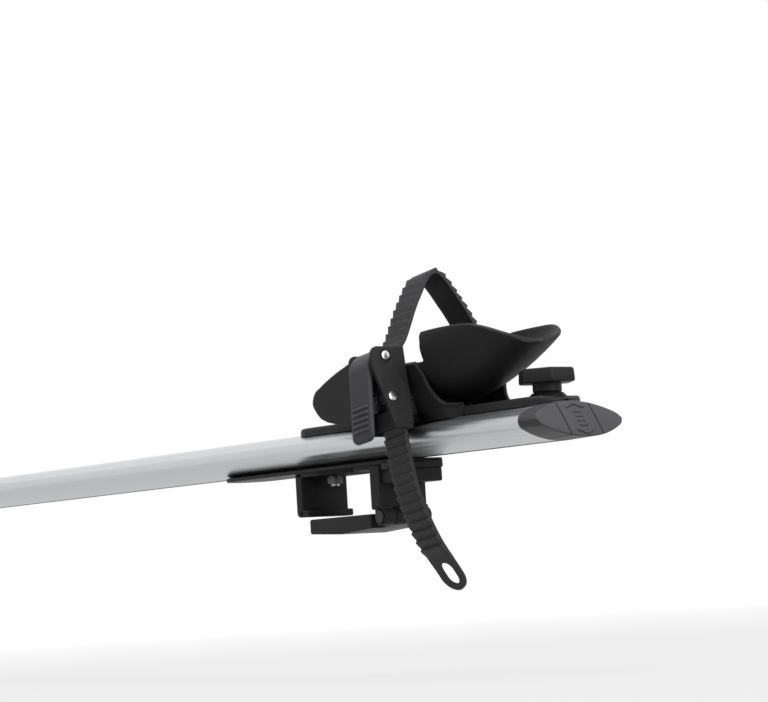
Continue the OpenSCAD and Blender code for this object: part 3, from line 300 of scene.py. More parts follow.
def piece(name, shell, place, finish, body, *nodes, crisp=38.0):
    """Makes the object, rides it on its body, and hides the nodes that it stands for."""
    points, faces = shell
    mesh = bpy.data.meshes.new(name)
    mesh.from_pydata((place(points)*MM).tolist(), [], [c for face in faces for c in face.tolist()])
    bm = bmesh.new()
    bm.from_mesh(mesh)
    bmesh.ops.remove_doubles(bm, verts=bm.verts, dist=MERGE)
    bmesh.ops.dissolve_degenerate(bm, edges=bm.edges, dist=SLIVER)
    bmesh.ops.recalc_face_normals(bm, faces=bm.faces)
    bm.to_mesh(mesh)
    bm.free()
    mesh.polygons.foreach_set("use_smooth", np.ones(len(mesh.polygons), bool))
    mesh.set_sharp_from_angle(angle=np.radians(crisp))
    material, slot = finish
    mesh.materials.append(material)
    obj = bpy.data.objects.new(name, mesh)
    bpy.context.scene.collection.objects.link(obj)
    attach(obj, body)
    if nodes:
        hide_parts(*nodes)
    print(f"{name}: {len(mesh.vertices)} points on {body}")


print("pieces merge points closer than", MERGE, "m")

# %% [markdown]
# A material is a tree of nodes, and wiring one takes many lines. These helpers add a node with its
# values, feed a socket from a constant or from another socket, map a range, and do one sum or mix.

# %% Node helpers
MIX_A, MIX_B, MIX_OUT = 6, 7, 2  # the colour sockets of a Mix node


def feed(tree, value, socket):
    """Links a socket, or sets a constant."""
    if isinstance(value, bpy.types.NodeSocket):
        tree.links.new(value, socket)
    else:
        socket.default_value = value


def add(tree, kind, **values):
    """A node whose properties or sockets take the given values."""
    node = tree.nodes.new(kind)
    for key, value in values.items():
        if hasattr(node, key):
            setattr(node, key, value)
        else:
            feed(tree, value, node.inputs[key.replace("_", " ").title()])
    return node


def noise(tree, vector, scale, detail=2.0, rough=0.5):
    """A noise texture's value, 0 to 1."""
    return add(tree, "ShaderNodeTexNoise", vector=vector, scale=scale, detail=detail,
               roughness=rough).outputs["Fac"]


def span(tree, value, low, high, to_low=0.0, to_high=1.0):
    """Maps low..high to to_low..to_high, clamped."""
    return add(tree, "ShaderNodeMapRange", value=value, from_min=low, from_max=high,
               to_min=to_low, to_max=to_high).outputs["Result"]


def maths(tree, operation, a, b):
    """One sum of two sockets, or of a socket and a number."""
    node = add(tree, "ShaderNodeMath", operation=operation)
    feed(tree, a, node.inputs[0])
    feed(tree, b, node.inputs[1])
    return node.outputs["Value"]


def mixed(tree, factor, a, b):
    """The colour between a and b, by a factor."""
    node = add(tree, "ShaderNodeMix", data_type="RGBA", factor=factor)
    feed(tree, a, node.inputs[MIX_A])
    feed(tree, b, node.inputs[MIX_B])
    return node.outputs[MIX_OUT]


def group(name, label, value, *outputs):
    """A node group with a Vector and one value as inputs, and values as outputs."""
    tree = bpy.data.node_groups.new(name, "ShaderNodeTree")
    tree.interface.new_socket("Vector", in_out="INPUT", socket_type="NodeSocketVector")
    amount = tree.interface.new_socket(label, in_out="INPUT", socket_type="NodeSocketFloat")
    amount.default_value = value
    for output in outputs:
        tree.interface.new_socket(output, in_out="OUTPUT", socket_type="NodeSocketFloat")
    given = tree.nodes.new("NodeGroupInput").outputs
    return tree, given["Vector"], given[label], tree.nodes.new("NodeGroupOutput").inputs


print("node helpers ready; Blender", bpy.app.version_string)

# %% [markdown]
# The finishes share three effects, each a node group: the fine grain of a moulding tool, the
# lengthwise lines of drawn metal, and the dust and scuffs of use. Image textures could show them,
# but patterns worked out from the place need no map and never blur. A group puts out masks and
# heights only.

# %% Shared effects
GRAIN_CLOUD, PEBBLE = 28.0, 0.6
DRAWN_STRETCH, LINE_SCALE, BAND_SCALE = 260.0, 2600.0, 240.0
DUST_SCALE, SPECK_SCALE = 34.0, 900.0

grain, where, scale, out = group("Moulding grain", "Scale", 1500.0, "Height", "Tone")
pebble = add(grain, "ShaderNodeTexVoronoi", feature="SMOOTH_F1", vector=where, scale=scale)
coarse = maths(grain, "MULTIPLY", pebble.outputs["Distance"], PEBBLE)
fine = noise(grain, where, scale, 3.0)
feed(grain, maths(grain, "ADD", coarse, fine), out["Height"])
feed(grain, span(grain, noise(grain, where, GRAIN_CLOUD, 4.0), 0.3, 0.7), out["Tone"])

drawn, where, scale, out = group("Drawn lines", "Scale", 1.0, "Height", "Tone")
stretch = add(drawn, "ShaderNodeMapping", vector_type="TEXTURE", vector=where,
              scale=(DRAWN_STRETCH, 1.0, 1.0)).outputs["Vector"]
feed(drawn, noise(drawn, stretch, maths(drawn, "MULTIPLY", scale, LINE_SCALE), 3.0), out["Height"])
bands = noise(drawn, stretch, maths(drawn, "MULTIPLY", scale, BAND_SCALE), 2.0)
feed(drawn, span(drawn, bands, 0.3, 0.7), out["Tone"])

wear, where, amount, out = group("Dust and scuffs", "Amount", 0.5, "Mask")
cloud = span(wear, noise(wear, where, DUST_SCALE, 6.0, 0.62), 0.52, 0.78)
speck = span(wear, noise(wear, where, SPECK_SCALE, 2.0), 0.62, 0.72)
mask = maths(wear, "MULTIPLY", maths(wear, "ADD", cloud, speck), 0.5)
feed(wear, maths(wear, "MULTIPLY", mask, amount), out["Mask"])
print("groups:", [g.name for g in bpy.data.node_groups])

# %% [markdown]
# Each finish is one Principled shader with its own plain values. The tone of the shared effect
# mixes two close colours, dust lifts the colour and the roughness, and the height feeds a bump.

# %% Finish maker
TONE_ROUGH, DUST_ROUGH, BUMP_DEEP = 0.05, 0.25, 0.0004


def finish(name, slot, dark, light, rough, metal=0.0, effect=grain, scale=1.0, bump=0.05, dust=0.1,
           turn=0.0, specular=0.5):
    """A material: tone mixes two colours, wear lifts colour and roughness, height feeds a bump."""
    material = bpy.data.materials.new(name)
    material.use_nodes = True
    tree = material.node_tree
    tree.nodes.clear()
    shader = add(tree, "ShaderNodeBsdfPrincipled", metallic=metal)
    shader.inputs["Specular IOR Level"].default_value = specular
    add(tree, "ShaderNodeOutputMaterial", surface=shader.outputs["BSDF"])
    where = tree.nodes.new("ShaderNodeTexCoord").outputs["Object"]
    if turn:
        twist = add(tree, "ShaderNodeMapping", vector=where, rotation=(0.0, turn, 0.0))
        where = twist.outputs["Vector"]
    surface = add(tree, "ShaderNodeGroup", node_tree=effect, vector=where, scale=scale).outputs
    scuffs = add(tree, "ShaderNodeGroup", node_tree=wear, vector=where, amount=dust).outputs["Mask"]
    worn = (*[min(1.0, 0.03 + 1.5*c) for c in light], 1)
    tone = mixed(tree, surface["Tone"], (*dark, 1), (*light, 1))
    feed(tree, mixed(tree, scuffs, tone, worn), shader.inputs["Base Color"])
    level = span(tree, surface["Tone"], 0, 1, rough - TONE_ROUGH, rough + TONE_ROUGH)
    dusty = maths(tree, "MULTIPLY", scuffs, DUST_ROUGH)
    feed(tree, maths(tree, "ADD", level, dusty), shader.inputs["Roughness"])
    bumps = add(tree, "ShaderNodeBump", strength=bump, distance=BUMP_DEEP)
    feed(tree, surface["Height"], bumps.inputs["Height"])
    feed(tree, bumps.outputs["Normal"], shader.inputs["Normal"])
    return material, slot


print("roughness moves by", TONE_ROUGH, "with the tone and by up to", DUST_ROUGH, "with dust")

# %% [markdown]
# The real mouldings are charcoal, black and grey plastics that differ a little in tone and gloss;
# the caps' lighter grey is painted light, standing in for the light on their raked faces. The rail
# and the arm's tube are satin anodised aluminium. The screws and nuts are zinc plated, the pin
# heads bright steel, and the pin rods and the coil dark steel, whose darkness is painted shade
# between the buckle's cheeks. Close greys keep the pieces apart without painting them.

# %% Finishes
def tinted(level):
    """A grey of that level, with the slight blue of dyed plastic."""
    return level, 1.005*level, 1.07*level


def moulding(name, slot, low, high, rough, specular, scale=1500.0, bump=0.14, dust=0.12):
    """A dyed plastic or rubber, between two greys."""
    return finish(name, slot, tinted(low), tinted(high), rough, scale=scale, bump=bump, dust=dust,
                  specular=specular)


def steel(name, dark, light, rough, scale=700.0, bump=0.05, dust=0.1):
    """A metal with a fine grain."""
    return finish(name, "zinc_steel", dark, light, rough, 1.0, scale=scale, bump=bump, dust=dust)


def aluminium(name, turn=0.0):
    """Anodised metal with drawn lines, which turn with the piece."""
    return finish(name, "anodised", (0.53, 0.54, 0.55), (0.61, 0.62, 0.63), 0.36, 1.0, drawn, 1.0,
                  bump=0.03, dust=0.05, turn=turn)


ANODISED = aluminium("satin_anodised")
TUBE_ANODISED = aluminium("satin_anodised_tube", np.pi/2 - ARM_LEAN)
CHARCOAL = moulding("charcoal_moulding", "moulded", 0.026, 0.034, 0.50, 0.12, bump=0.16)
GREY = moulding("grip_moulding", "moulded", 0.066, 0.080, 0.46, 0.16)
# Painted light: the caps' grey is lighter than the charcoal of the other mouldings, to stand in for
# the light on their raked faces.
CAP_PAINTED_LIGHT = moulding("cap_moulding", "moulded", 0.066, 0.084, 0.46, 0.20, dust=0.10)
BLACK = moulding("black_moulding", "dark_moulded", 0.021, 0.028, 0.44, 0.14, 1800.0, 0.12, 0.10)
STRAP = moulding("strap_plastic", "strap", 0.048, 0.060, 0.46, 0.16, 900.0, 0.07)
RUBBER = moulding("clamp_rubber", "rubber", 0.017, 0.024, 0.72, 0.10, 1100.0, 0.22, 0.20)
ZINC = steel("zinc_plate", (0.30, 0.305, 0.31), (0.38, 0.385, 0.39), 0.36)
DULL_ZINC = steel("dull_zinc", (0.10, 0.10, 0.098), (0.15, 0.15, 0.147), 0.52, dust=0.12)
BRIGHT = steel("bright_steel", (0.80, 0.80, 0.80), (0.88, 0.88, 0.87), 0.24, bump=0.03, dust=0.04)
# Painted shade: the pin rods and the coil sit between the buckle's cheeks, and this dark steel
# stands in for the shade there.
DARK_STEEL_PAINTED_SHADE = steel("dark_steel_painted_shade", (0.035, 0.035, 0.037), (0.050, 0.050, 0.052), 0.42, 900.0)
print("finishes:", [m.name for m in bpy.data.materials])

# %% [markdown]
# The rail's section is an oval of four arcs: flat crown arcs above and below, and a small nose arc
# at each side. A T-slot runs along the top and the underside. A curve with a bevel profile could
# draw it, but the caps and trays need the oval's height as a formula, so the formula makes it.

# %% Rail
RAIL_W, RAIL_H, NOSE_R = 64.0, 23.0, 5.0
NOSE_Y = RAIL_W/2 - NOSE_R
CROWN_R = (NOSE_Y**2 + RAIL_H**2/4 - NOSE_R**2)/(RAIL_H - 2*NOSE_R)
MOUTH_HALF, SLOT_HALF, SLOT_TOP, SLOT_LOW = 4.3, 7.5, 9.5, 4.5


def half_height(y, d=0.0):
    """Upper edge of the oval, d inside it: a crown circle, then a nose circle past the join."""
    y = np.abs(y)
    crown = np.sqrt(np.maximum((CROWN_R - d)**2 - y**2, 0)) - (CROWN_R - RAIL_H/2)
    nose = np.sqrt(np.maximum((NOSE_R - d)**2 - (y - NOSE_Y)**2, 0))
    return np.where(y < NOSE_Y*(1 + (NOSE_R - d)/(CROWN_R - NOSE_R)), crown, nose)


def rail():
    """The outline with both slots, carried along X."""
    y = RAIL_W/2*np.sin(np.linspace(np.arcsin(MOUTH_HALF*2/RAIL_W), np.pi/2, 40))
    quarter = np.stack([y, half_height(y)], 1)
    lip = np.array([[MOUTH_HALF, SLOT_TOP], [SLOT_HALF, SLOT_TOP], [SLOT_HALF, SLOT_LOW]])
    half = np.concatenate([quarter[::-1], lip, lip[::-1]*[-1, 1], quarter*[-1, 1]])
    loop = np.concatenate([half, half[1:-1][::-1]*[1, -1]])
    x = np.linspace(FRONT_END - REAR_END, 0, 14)
    ring = np.broadcast_to(loop, (len(x), *loop.shape))
    deep = np.broadcast_to(x[:, None, None], (len(x), len(loop), 1))
    return tube(np.concatenate([deep, ring], 2))


piece("rail_extrusion", rail(), at_rear, ANODISED, "carrier", "rail", crisp=30)

# %% [markdown]
# Each cap carries the oval out to a raked, slightly domed face. Two grooves go all the way round
# it. They could be cut with a Boolean, which leaves ragged shading, so they are part of the grid:
# a few columns beside each groove draw the whole loop in. A double arrow is raised on the face.

# %% Caps
CAP_LEN, CAP_RAKE, CAP_EDGE, CAP_DRAFT, CAP_DOME, DOME_HALF = 17.0, 0.66, 1.3, 0.6, 0.5, 31.0
GROOVE_Y, GROOVE_HALF, GROOVE_FLOOR, GROOVE_DEEP = 12.0, 0.45, 0.3, 0.9
DASH_HALF, DASH_PITCH, MARK_T, MARK_EDGE, MARK_OUT = (3.25, 0.55), 3.2, 1.1, 0.35, 0.35
CHEVRON_ARM = np.array([[-6.6, 7.2], [0.3, 10.1], [0.3, 11.4], [-6.6, 8.5]])


def cap():
    """Loops in X and Z, one for each y: underside, raked face, top and back, in at the grooves."""
    beside = GROOVE_Y + np.array([-1, -GROOVE_HALF, -GROOVE_FLOOR, GROOVE_FLOOR, GROOVE_HALF])
    y = np.r_[0, 4, 8, beside, np.linspace(GROOVE_Y + 1, RAIL_W/2, 26)]
    y = np.r_[-y[:0:-1], y]
    wall = (GROOVE_HALF - np.abs(np.abs(y) - GROOVE_Y))/(GROOVE_HALF - GROOVE_FLOOR)
    groove = GROOVE_DEEP*np.clip(wall, 0, 1)[:, None]
    back = np.maximum(half_height(y), 0.02)[:, None] - groove
    front = np.maximum(half_height(y, CAP_DRAFT), 0.01)[:, None] - groove
    r = np.minimum(CAP_EDGE, 0.45*front)
    face_x = CAP_LEN - groove
    chin, brow = face_x + CAP_RAKE*front, face_x - CAP_RAKE*front
    t = np.linspace(0, 1, 8)[None, :]
    low = np.stack([t*(chin - r), -back + t*(back - front)], -1)
    start = front - 0.83*r
    face_z = -start + start*2*np.linspace(0, 1, 12)
    dome = CAP_DOME*(1 - (face_z/np.maximum(front, 0.1))**2)
    dome = dome*np.clip(1 - (y[:, None]/DOME_HALF)**2, 0, 1)
    face = np.stack([face_x - CAP_RAKE*face_z + dome, face_z], -1)
    top = np.stack([(1 - t)*(brow - r), front + t*(back - front)], -1)
    rear = np.stack([np.zeros((len(y), 3)), back*np.array([[0.5, 0, -0.5]])], -1)
    u = np.linspace(0, 1, 6)[1:-1]
    low_edge = bow(low[:, -1], np.concatenate([chin, -front], 1), face[:, 0], u)
    top_edge = bow(face[:, -1], np.concatenate([brow, front], 1), top[:, 0], u)
    loop = np.concatenate([low, low_edge, face, top_edge, top, rear], 1)
    deep = np.broadcast_to(y[:, None, None], (*loop.shape[:2], 1))
    return tube(np.concatenate([loop[..., :1], deep, loop[..., 1:]], 2))


def cap_marks():
    """A double arrow on the raked face: four dashes between two chevrons of two arms each."""
    dash = oblong(-1, 1, -1, 1)*DASH_HALF
    outlines = [corners(dash + [0, DASH_PITCH*k], 0.4) for k in (-1.5, -0.5, 0.5, 1.5)]
    outlines += [corners(CHEVRON_ARM*[j, k], 0.25) for j in SIDES for k in SIDES]
    points, faces = join(*[slab(outline, MARK_T, "x", MARK_EDGE) for outline in outlines])
    return turn_y(points, -np.arctan(CAP_RAKE)) + [CAP_LEN + MARK_OUT, 0, 0], faces


for end, (at_end, _) in ENDS.items():
    marked = join(cap(), cap_marks())
    piece(end + "_cap_moulding", marked, at_end, CAP_PAINTED_LIGHT, "carrier", end + "_cap", crisp=50)

# %% [markdown]
# The tray is one moulding. Its trough is a sheet whose section is a U, carried round a large
# circle so that its floor rises towards both ends. A Boolean could cut the rim, but here the rim's
# height is a formula, and each row of the sheet simply ends at it, notch for the strap included.

# %% Trough
TROUGH_X, TROUGH_Z, TROUGH_R, HALF_IN, WALL = -130.0, 234.5, 184.0, 33.0, 3.0
NOTCH_LEFT, NOTCH_RIGHT, NOTCH_Z, NOTCH_R = -126.25, -82.0, 42.0, 4.0
LIP_X, LIP_Z, LIP_R, BACK_R = -45.0, 60.0, 45.1, 500.0
FALL_X, FALL = -150.0, 0.0026
WING_X, WING_Z, WING_R, WING_JOIN = -184.2, 26.5, 10.0, -187.2
TROUGH_TIP, TROUGH_FROM, TROUGH_TO = -194.1, -187.0, -17.0


def smooth(x, a, b):
    """0 below a, 1 above b, and 3t^2 - 2t^3 between."""
    t = np.clip((x - a)/(b - a), 0, 1)
    return t*t*(3 - 2*t)


def rim_back(x):
    """The rim behind its top: a large arc, which falls faster by FALL (x - FALL_X)^2 at its end."""
    arc_z = LIP_Z - BACK_R + np.sqrt(BACK_R**2 - (x - LIP_X)**2)
    return arc_z - FALL*np.minimum(x - FALL_X, 0)**2


def rim(x):
    """Height of the rim: a nose arc, a long back arc and a wing arc, less the notch."""
    nose = LIP_Z - LIP_R + np.sqrt(np.maximum(LIP_R**2 - (x - LIP_X)**2, 0))
    wing = WING_Z + np.sqrt(np.maximum(WING_R**2 - (x - WING_X)**2, 0))
    z = np.where(x > LIP_X, nose, np.where(x > WING_JOIN, rim_back(x), wing))
    corner = np.clip(x - NOTCH_RIGHT + NOTCH_R, 0, NOTCH_R)
    floor = NOTCH_Z + NOTCH_R - np.sqrt(NOTCH_R**2 - corner**2)
    cut = smooth(x, NOTCH_LEFT - 0.9, NOTCH_LEFT + 0.5)
    cut = cut*(1 - smooth(x, NOTCH_RIGHT - 0.3, NOTCH_RIGHT + 0.9))
    return z + (floor - z)*cut


def trough():
    """P(x, s): s runs round the U, y = r sin, radius R + r cos, then up the wall; z follows that
    radius about the large circle's axis."""
    x = np.unique(np.r_[np.linspace(TROUGH_TIP, TROUGH_FROM, 10),
                        np.linspace(TROUGH_FROM, TROUGH_TO, 72),
                        NOTCH_LEFT + np.linspace(-1, 1, 9), NOTCH_RIGHT + np.linspace(-4, 1, 18)])
    reach = np.hypot(TROUGH_Z - rim(x), x - TROUGH_X) - TROUGH_R
    curve = HALF_IN*np.arccos(np.clip(reach/HALF_IN, 0, 0.9995))
    s_max = np.where(reach > 0, curve, HALF_IN*np.pi/2 - reach)
    s = s_max[:, None]*np.linspace(-1, 1, 61)[None, :]
    bend = np.clip(s/HALF_IN, -np.pi/2, np.pi/2)
    radius = TROUGH_R + HALF_IN*np.cos(bend) - np.maximum(np.abs(s) - HALF_IN*np.pi/2, 0)
    z = TROUGH_Z - np.sqrt(radius**2 - (x[:, None] - TROUGH_X)**2)
    p = np.stack([np.broadcast_to(x[:, None], s.shape), HALF_IN*np.sin(bend), z], -1)
    return sheet(p, WALL)


print("the rim's top is", rim(np.array(LIP_X)), "mm over the rail's middle")

# %% [markdown]
# A panel hangs from each side of the trough. It stands upright as far as the strap's boss, and
# from there a plane leans in to the deck. Flat faces could be extruded and cut, but the change
# from upright to leaning is soft, so the panel is one sheet, y as a function of x and z.

# %% Panels
DECK_Z, DECK_HALF, PANEL_Z, PANEL_TOP, WING_TOP = 14.5, 20.0, 9.0, 53.0, 35.8
FLARE_X, FLARE_R, SLOPE_X, SLOPE_Z = -66.0, 20.0, -91.5, 43.5
BOSS_X, BOSS_STEP, FOOT_Y = -102.0, 1.5, 24.5
FOOT = np.array([[9, -150], [10.2, -158], [11.8, -167], [14.3, -179], [17, -185.9], [20.5, -190],
                 [24.3, -193], [26.5, -194.2]])
SHELF = [[-156, 17], [-156, 34.5], [-102, 34.5], [-102, 23.0], [-78, 23.0], [-78, 17]]
SHELF_T, SHELF_Z = 3.0, 10.5


def panel():
    """y(x, z): upright to the boss, then a plane that leans in to the deck; its edge is a straight
    slope that runs into a quarter circle at the deck."""
    z = np.r_[PANEL_Z, np.linspace(PANEL_Z + 0.6, NOTCH_Z - 0.2, 34), NOTCH_Z + 0.2,
              np.linspace(NOTCH_Z + 1, PANEL_TOP, 10)]
    foot = np.interp(z, FOOT[:, 0], FOOT[:, 1])
    wing = WING_X - np.sqrt(np.maximum(WING_R**2 - (z - WING_Z)**2, 0))
    x = np.linspace(TROUGH_FROM, -60, 200)
    left = np.where(z < WING_TOP, wing, np.interp(z, rim_back(x), x))
    left = np.where(z < WING_Z, foot, left)[:, None]
    flare_z = DECK_Z + FLARE_R
    flare = FLARE_X - np.sqrt(np.maximum(FLARE_R**2 - (z - flare_z)**2, 0))
    slope = np.interp(z, [flare_z, SLOPE_Z], [FLARE_X - FLARE_R, SLOPE_X])
    right = np.where(z < DECK_Z, FLARE_X, np.where(z < flare_z, flare, slope))
    right = np.where(z < NOTCH_Z, right, NOTCH_LEFT)[:, None]
    near, far = BOSS_X - BOSS_STEP, BOSS_X + BOSS_STEP
    inner = left + (near - left)*np.linspace(0, 1, 40)
    outer = far + (right - far)*np.linspace(0, 1, 24)
    x = np.minimum(np.concatenate([inner, np.full((len(z), 1), BOSS_X), outer], 1), right)
    upright = HALF_IN + WALL
    lean = (z[:, None] - PANEL_Z)/(SLOPE_Z - PANEL_Z)
    lean = FOOT_Y + (upright - FOOT_Y)*np.minimum(lean, 1)
    y = upright + (lean - upright)*smooth(x, near, far)
    y = y + (DECK_HALF + 0.2 - y)*smooth(x, FLARE_X - 10, FLARE_X - 0.5)
    return sheet(np.stack([x, y, np.broadcast_to(z[:, None], x.shape)], -1), WALL)


def shelf():
    """The ledge that closes the panel's foot: wide inside the strap, narrow outside it."""
    return shift(slab(corners(SHELF, [1, 6, 0.5, 0.5, 0.5, 0.5]), SHELF_T, "z", 0.5), z=SHELF_Z)


sides = [panel(), shelf()]
print("a side panel has", len(sides[0][0]), "points")

# %% [markdown]
# The deck lies on the rail. Its underside follows the oval and its plan has round ends, so it is a
# row of loops along X, one helper that also makes the arm's saddle. A web joins the deck to the
# trough's floor. All parts of the tray are joined as one piece, as in the mould.

# %% Deck and tray
DECK_FROM, KNOB_X, DECK_EDGE, DECK_GAP, TIP_FLAT = -226.0, -10.0, 2.2, 0.3, 0.83
DECK_FALL, FALL_FROM, FALL_LEN = 2.2, 1.0, 5.6
WEB_FROM, WEB_TO, WEB_LOW, WEB_R, WEB_T = -105.0, -167.0, 13.5, 218.5, 8.0


def saddle(x, half, top, r, under):
    """Loops in Y and Z along X: the underside is under(y), and quarter circles of radius r turn
    the sides, at y = half, into the top."""
    a, t = np.linspace(0, np.pi/2, 5)[None, :], np.linspace(-1, 1, 21)[None, :]
    side, edge = half - r + r*np.cos(a), top - r + r*np.sin(a)
    y = np.concatenate([half*t, side, -side[:, ::-1]], 1)
    z = np.concatenate([under(half*t), edge, edge[:, ::-1]], 1)
    return tube(np.stack([np.broadcast_to(x, y.shape), y, z], -1))


def over_rail(y):
    """The deck's underside: a little over the oval, and level beyond it."""
    return np.maximum(half_height(y) + DECK_GAP, PANEL_Z)


def deck():
    """A saddle with round ends, half = sqrt(R^2 - out^2); its top falls towards the outer tip."""
    end = DECK_HALF*np.sin(np.linspace(0, np.pi/2, 13))
    x = np.r_[DECK_FROM - end[::-1], np.linspace(DECK_FROM + 1, KNOB_X - 1, 20),
              KNOB_X + TIP_FLAT*end][:, None]
    out = np.maximum(np.maximum(DECK_FROM - x, (x - KNOB_X)/TIP_FLAT), 0)
    half = np.sqrt(np.maximum(DECK_HALF**2 - out**2, 0.01))
    top = DECK_Z - DECK_FALL*np.clip((x - FALL_FROM)/FALL_LEN, 0, 1)
    return saddle(x, half, top, np.minimum(DECK_EDGE, half/2), over_rail)


def web():
    """A slab under the trough's lowest part, its top on the circle of the trough's floor."""
    x = np.linspace(WEB_FROM, WEB_TO, 30)
    top = np.stack([x, TROUGH_Z - np.sqrt(WEB_R**2 - (x - TROUGH_X)**2)], 1)
    return slab(np.concatenate([[[WEB_TO, WEB_LOW], [WEB_FROM, WEB_LOW]], top]), WEB_T, "y", 0.4)


tray = join(trough(), *sides, *[mirror(side, "y") for side in sides], deck(), web())
for end, (at_end, _) in ENDS.items():
    piece(end + "_tray_moulding", tray, at_end, CHARCOAL, end + "_tray", end + "_tray", crisp=42)

# %% [markdown]
# The tray knob is turned, but its head has six flats with soft edges between them. A cylinder with
# a Bevel modifier could give the head, but not its slight taper and crown. Its neck stands on a
# low cone.

# %% Knob and collar
KNOB_NECK = [[3, 17.3], [7.9, 17.3], [8.5, 17.8], [8.5, 22.5]]
KNOB_HEAD = [[16.2, 22.5], [17.2, 22.8], [17.6, 23.6], [17.5, 26], [17.2, 29.4], [16.8, 30.4],
             [15.8, 30.9], [12, 31.0], [0.2, 31.1]]
COLLAR = [[4.3, 14.5], [11.0, 14.5], [11.0, 15.0], [9.3, 16.8], [8.8, 17.0], [4.3, 17.0]]
FLATS = [0]*len(KNOB_NECK) + [1.0]*7 + [0.6, 0]

knob = shift(lathe(KNOB_NECK + KNOB_HEAD, turns=120, facets=6, weight=FLATS), x=KNOB_X)
collar = shift(lathe(COLLAR), x=KNOB_X)
for end, (at_end, _) in ENDS.items():
    turning = end + "_tray_knob"
    piece(end + "_knob_moulding", knob, at_end, BLACK, turning, end + "_tray_knob", crisp=35)
    piece(end + "_knob_collar", collar, at_end, BLACK, end + "_tray", end + "_tray_collar")

# %% [markdown]
# The strap runs up from the far panel, over the trough and down through the buckle. A curve object
# could be its path, but points on a grid need the path's length and direction as arrays. So the
# path is a smooth curve through a few points, worked out here. From the far panel's top on, the
# strap leans a little towards the rail's middle, and the buckle leans with it.

# %% Strap path
LEAN, LEAN_Z, BUCKLE_X = np.radians(7.5), 51.5, -112.0
LEAN_FROM, LEAN_TO, LOOK = 28.0, 44.0, 0.8
TAIL_TOP, TAIL_REACH = [-38, 14.5], [32, -108.5]
TAIL = np.array([[0.01, 0.226], [0.11, 0.47], [0.4, 0.71], [0.77, 0.89], [1, 1]])
KNOTS = np.array([[36, 15.5], [36, 32.5], [36, 38.5], [35.4, 44.5], [29, 57.3], [15, 81.7],
                  [0, 98.5], [-15, 81.7], [-29, 57.3], [-36.9, 48], [-38, 42.5], [-38, 32.5],
                  [-38, 5.5], [-38, -0.5], *(TAIL*TAIL_REACH + TAIL_TOP)])


def smooth_path(knots, steps=24):
    """A cubic through the knots: each span blends the four knots round it."""
    k = np.concatenate([knots[:1], knots, knots[-1:]])
    a, b, c, d = (k[i:len(k) - 3 + i, None] for i in range(4))
    t = np.linspace(0, 1, steps, endpoint=False)[None, :, None]
    p = (2*b + (c - a)*t + (2*a - 5*b + 4*c - d)*t**2 + (3*b - a - 3*c + d)*t**3)/2
    return np.concatenate([p.reshape(-1, 2), knots[-1:]])


LINE = smooth_path(KNOTS)
RUN = np.r_[0, np.cumsum(np.linalg.norm(np.diff(LINE, axis=0), axis=1))]
STRAP_LEN = RUN[-1]


def path(s):
    """The path's point at the length s."""
    return np.stack([np.interp(s, RUN, LINE[:, 0]), np.interp(s, RUN, LINE[:, 1])], -1)


def on_strap(x, s, h):
    """A point x across the strap, s along it and h over its inner face; past the bend it leans."""
    d = unit(path(s + LOOK) - path(s - LOOK))
    p = path(s) + h[..., None]*np.stack([d[..., 1], -d[..., 0]], -1)
    up = p[..., 1] - LEAN_Z
    lean = LEAN*smooth(s, LEAN_FROM, LEAN_TO)
    return np.stack([BUCKLE_X + x*np.cos(lean) - up*np.sin(lean), p[..., 0],
                     LEAN_Z + up*np.cos(lean) + x*np.sin(lean)], -1)


def leaning(shell):
    """A shell built about the strap's middle, turned with the strap's lean and put in its place."""
    return turn_y(shell[0] - [0, 0, LEAN_Z], -LEAN) + [BUCKLE_X, 0, LEAN_Z], shell[1]


print("strap length:", round(STRAP_LEN, 1), "mm")

# %% [markdown]
# The strap's height over its path is a saw: a steep step, then a slow fall. An Array modifier could
# repeat one tooth along a curve, but the teeth would shear at the bends. Here each station along
# the path gets a ring of its own, and the saw only sets its height.

# %% Strap band
STRAP_W, BAND_T, TOOTH_H, TOOTH_PITCH, TEETH_FROM = 20.5, 2.2, 1.5, 5.7, 36.0
TAIL_PLAIN, BAND_END, SOFT, SOFTER = 24.0, 20.8, 0.25, 0.07
TOOTH = np.array([[0, 0], [0.16, 0.94], [0.22, 1], [0.6, 0.52], [0.98, 0.02]])
teeth = int((STRAP_LEN - TAIL_PLAIN - TEETH_FROM)//TOOTH_PITCH)


def strap_band():
    """Rings round the strap's section at each station; each tooth has five stations."""
    saw = (np.arange(teeth)[:, None] + TOOTH[:, 0]).ravel()
    s = np.r_[np.linspace(0, TEETH_FROM - 0.1, 20), TEETH_FROM + TOOTH_PITCH*np.r_[saw, teeth],
              STRAP_LEN - BAND_END][:, None]
    high = BAND_T + TOOTH_H*np.r_[np.zeros(20), np.tile(TOOTH[:, 1], teeth), 0, 0][:, None]
    half = STRAP_W/2
    flat = np.linspace(SOFT - half, half - SOFT, 7)
    side = np.array([half - SOFTER, half, half, half - SOFTER])
    across = np.r_[flat, side, -flat, -side]
    low = np.r_[np.zeros(7), SOFTER, SOFT]
    top = high - np.r_[low[::-1][:2], low]
    h = np.concatenate([np.tile(low, (len(s), 1)), top, np.tile([SOFT, SOFTER], (len(s), 1))], 1)
    return tube(on_strap(np.broadcast_to(across, h.shape), np.broadcast_to(s, h.shape), h))


print("teeth on the strap:", teeth)

# %% [markdown]
# The strap's tail is plain, with a round tip and an oval pull hole. A Boolean could cut the hole,
# but it would break the grid. So the tail is a grid that closes both ways: one parameter goes
# round the hole, the other from the hole's edge out to the rim and back on the other face.

# %% Strap tail
HOLE_MID, HOLE_R, HOLE_HALF = 12.0, 5.25, 2.5
TIP_OUT, TAIL_IN, HOLE_SOFT, RIM_SOFT = 11.9, -13.0, 0.3, 0.4


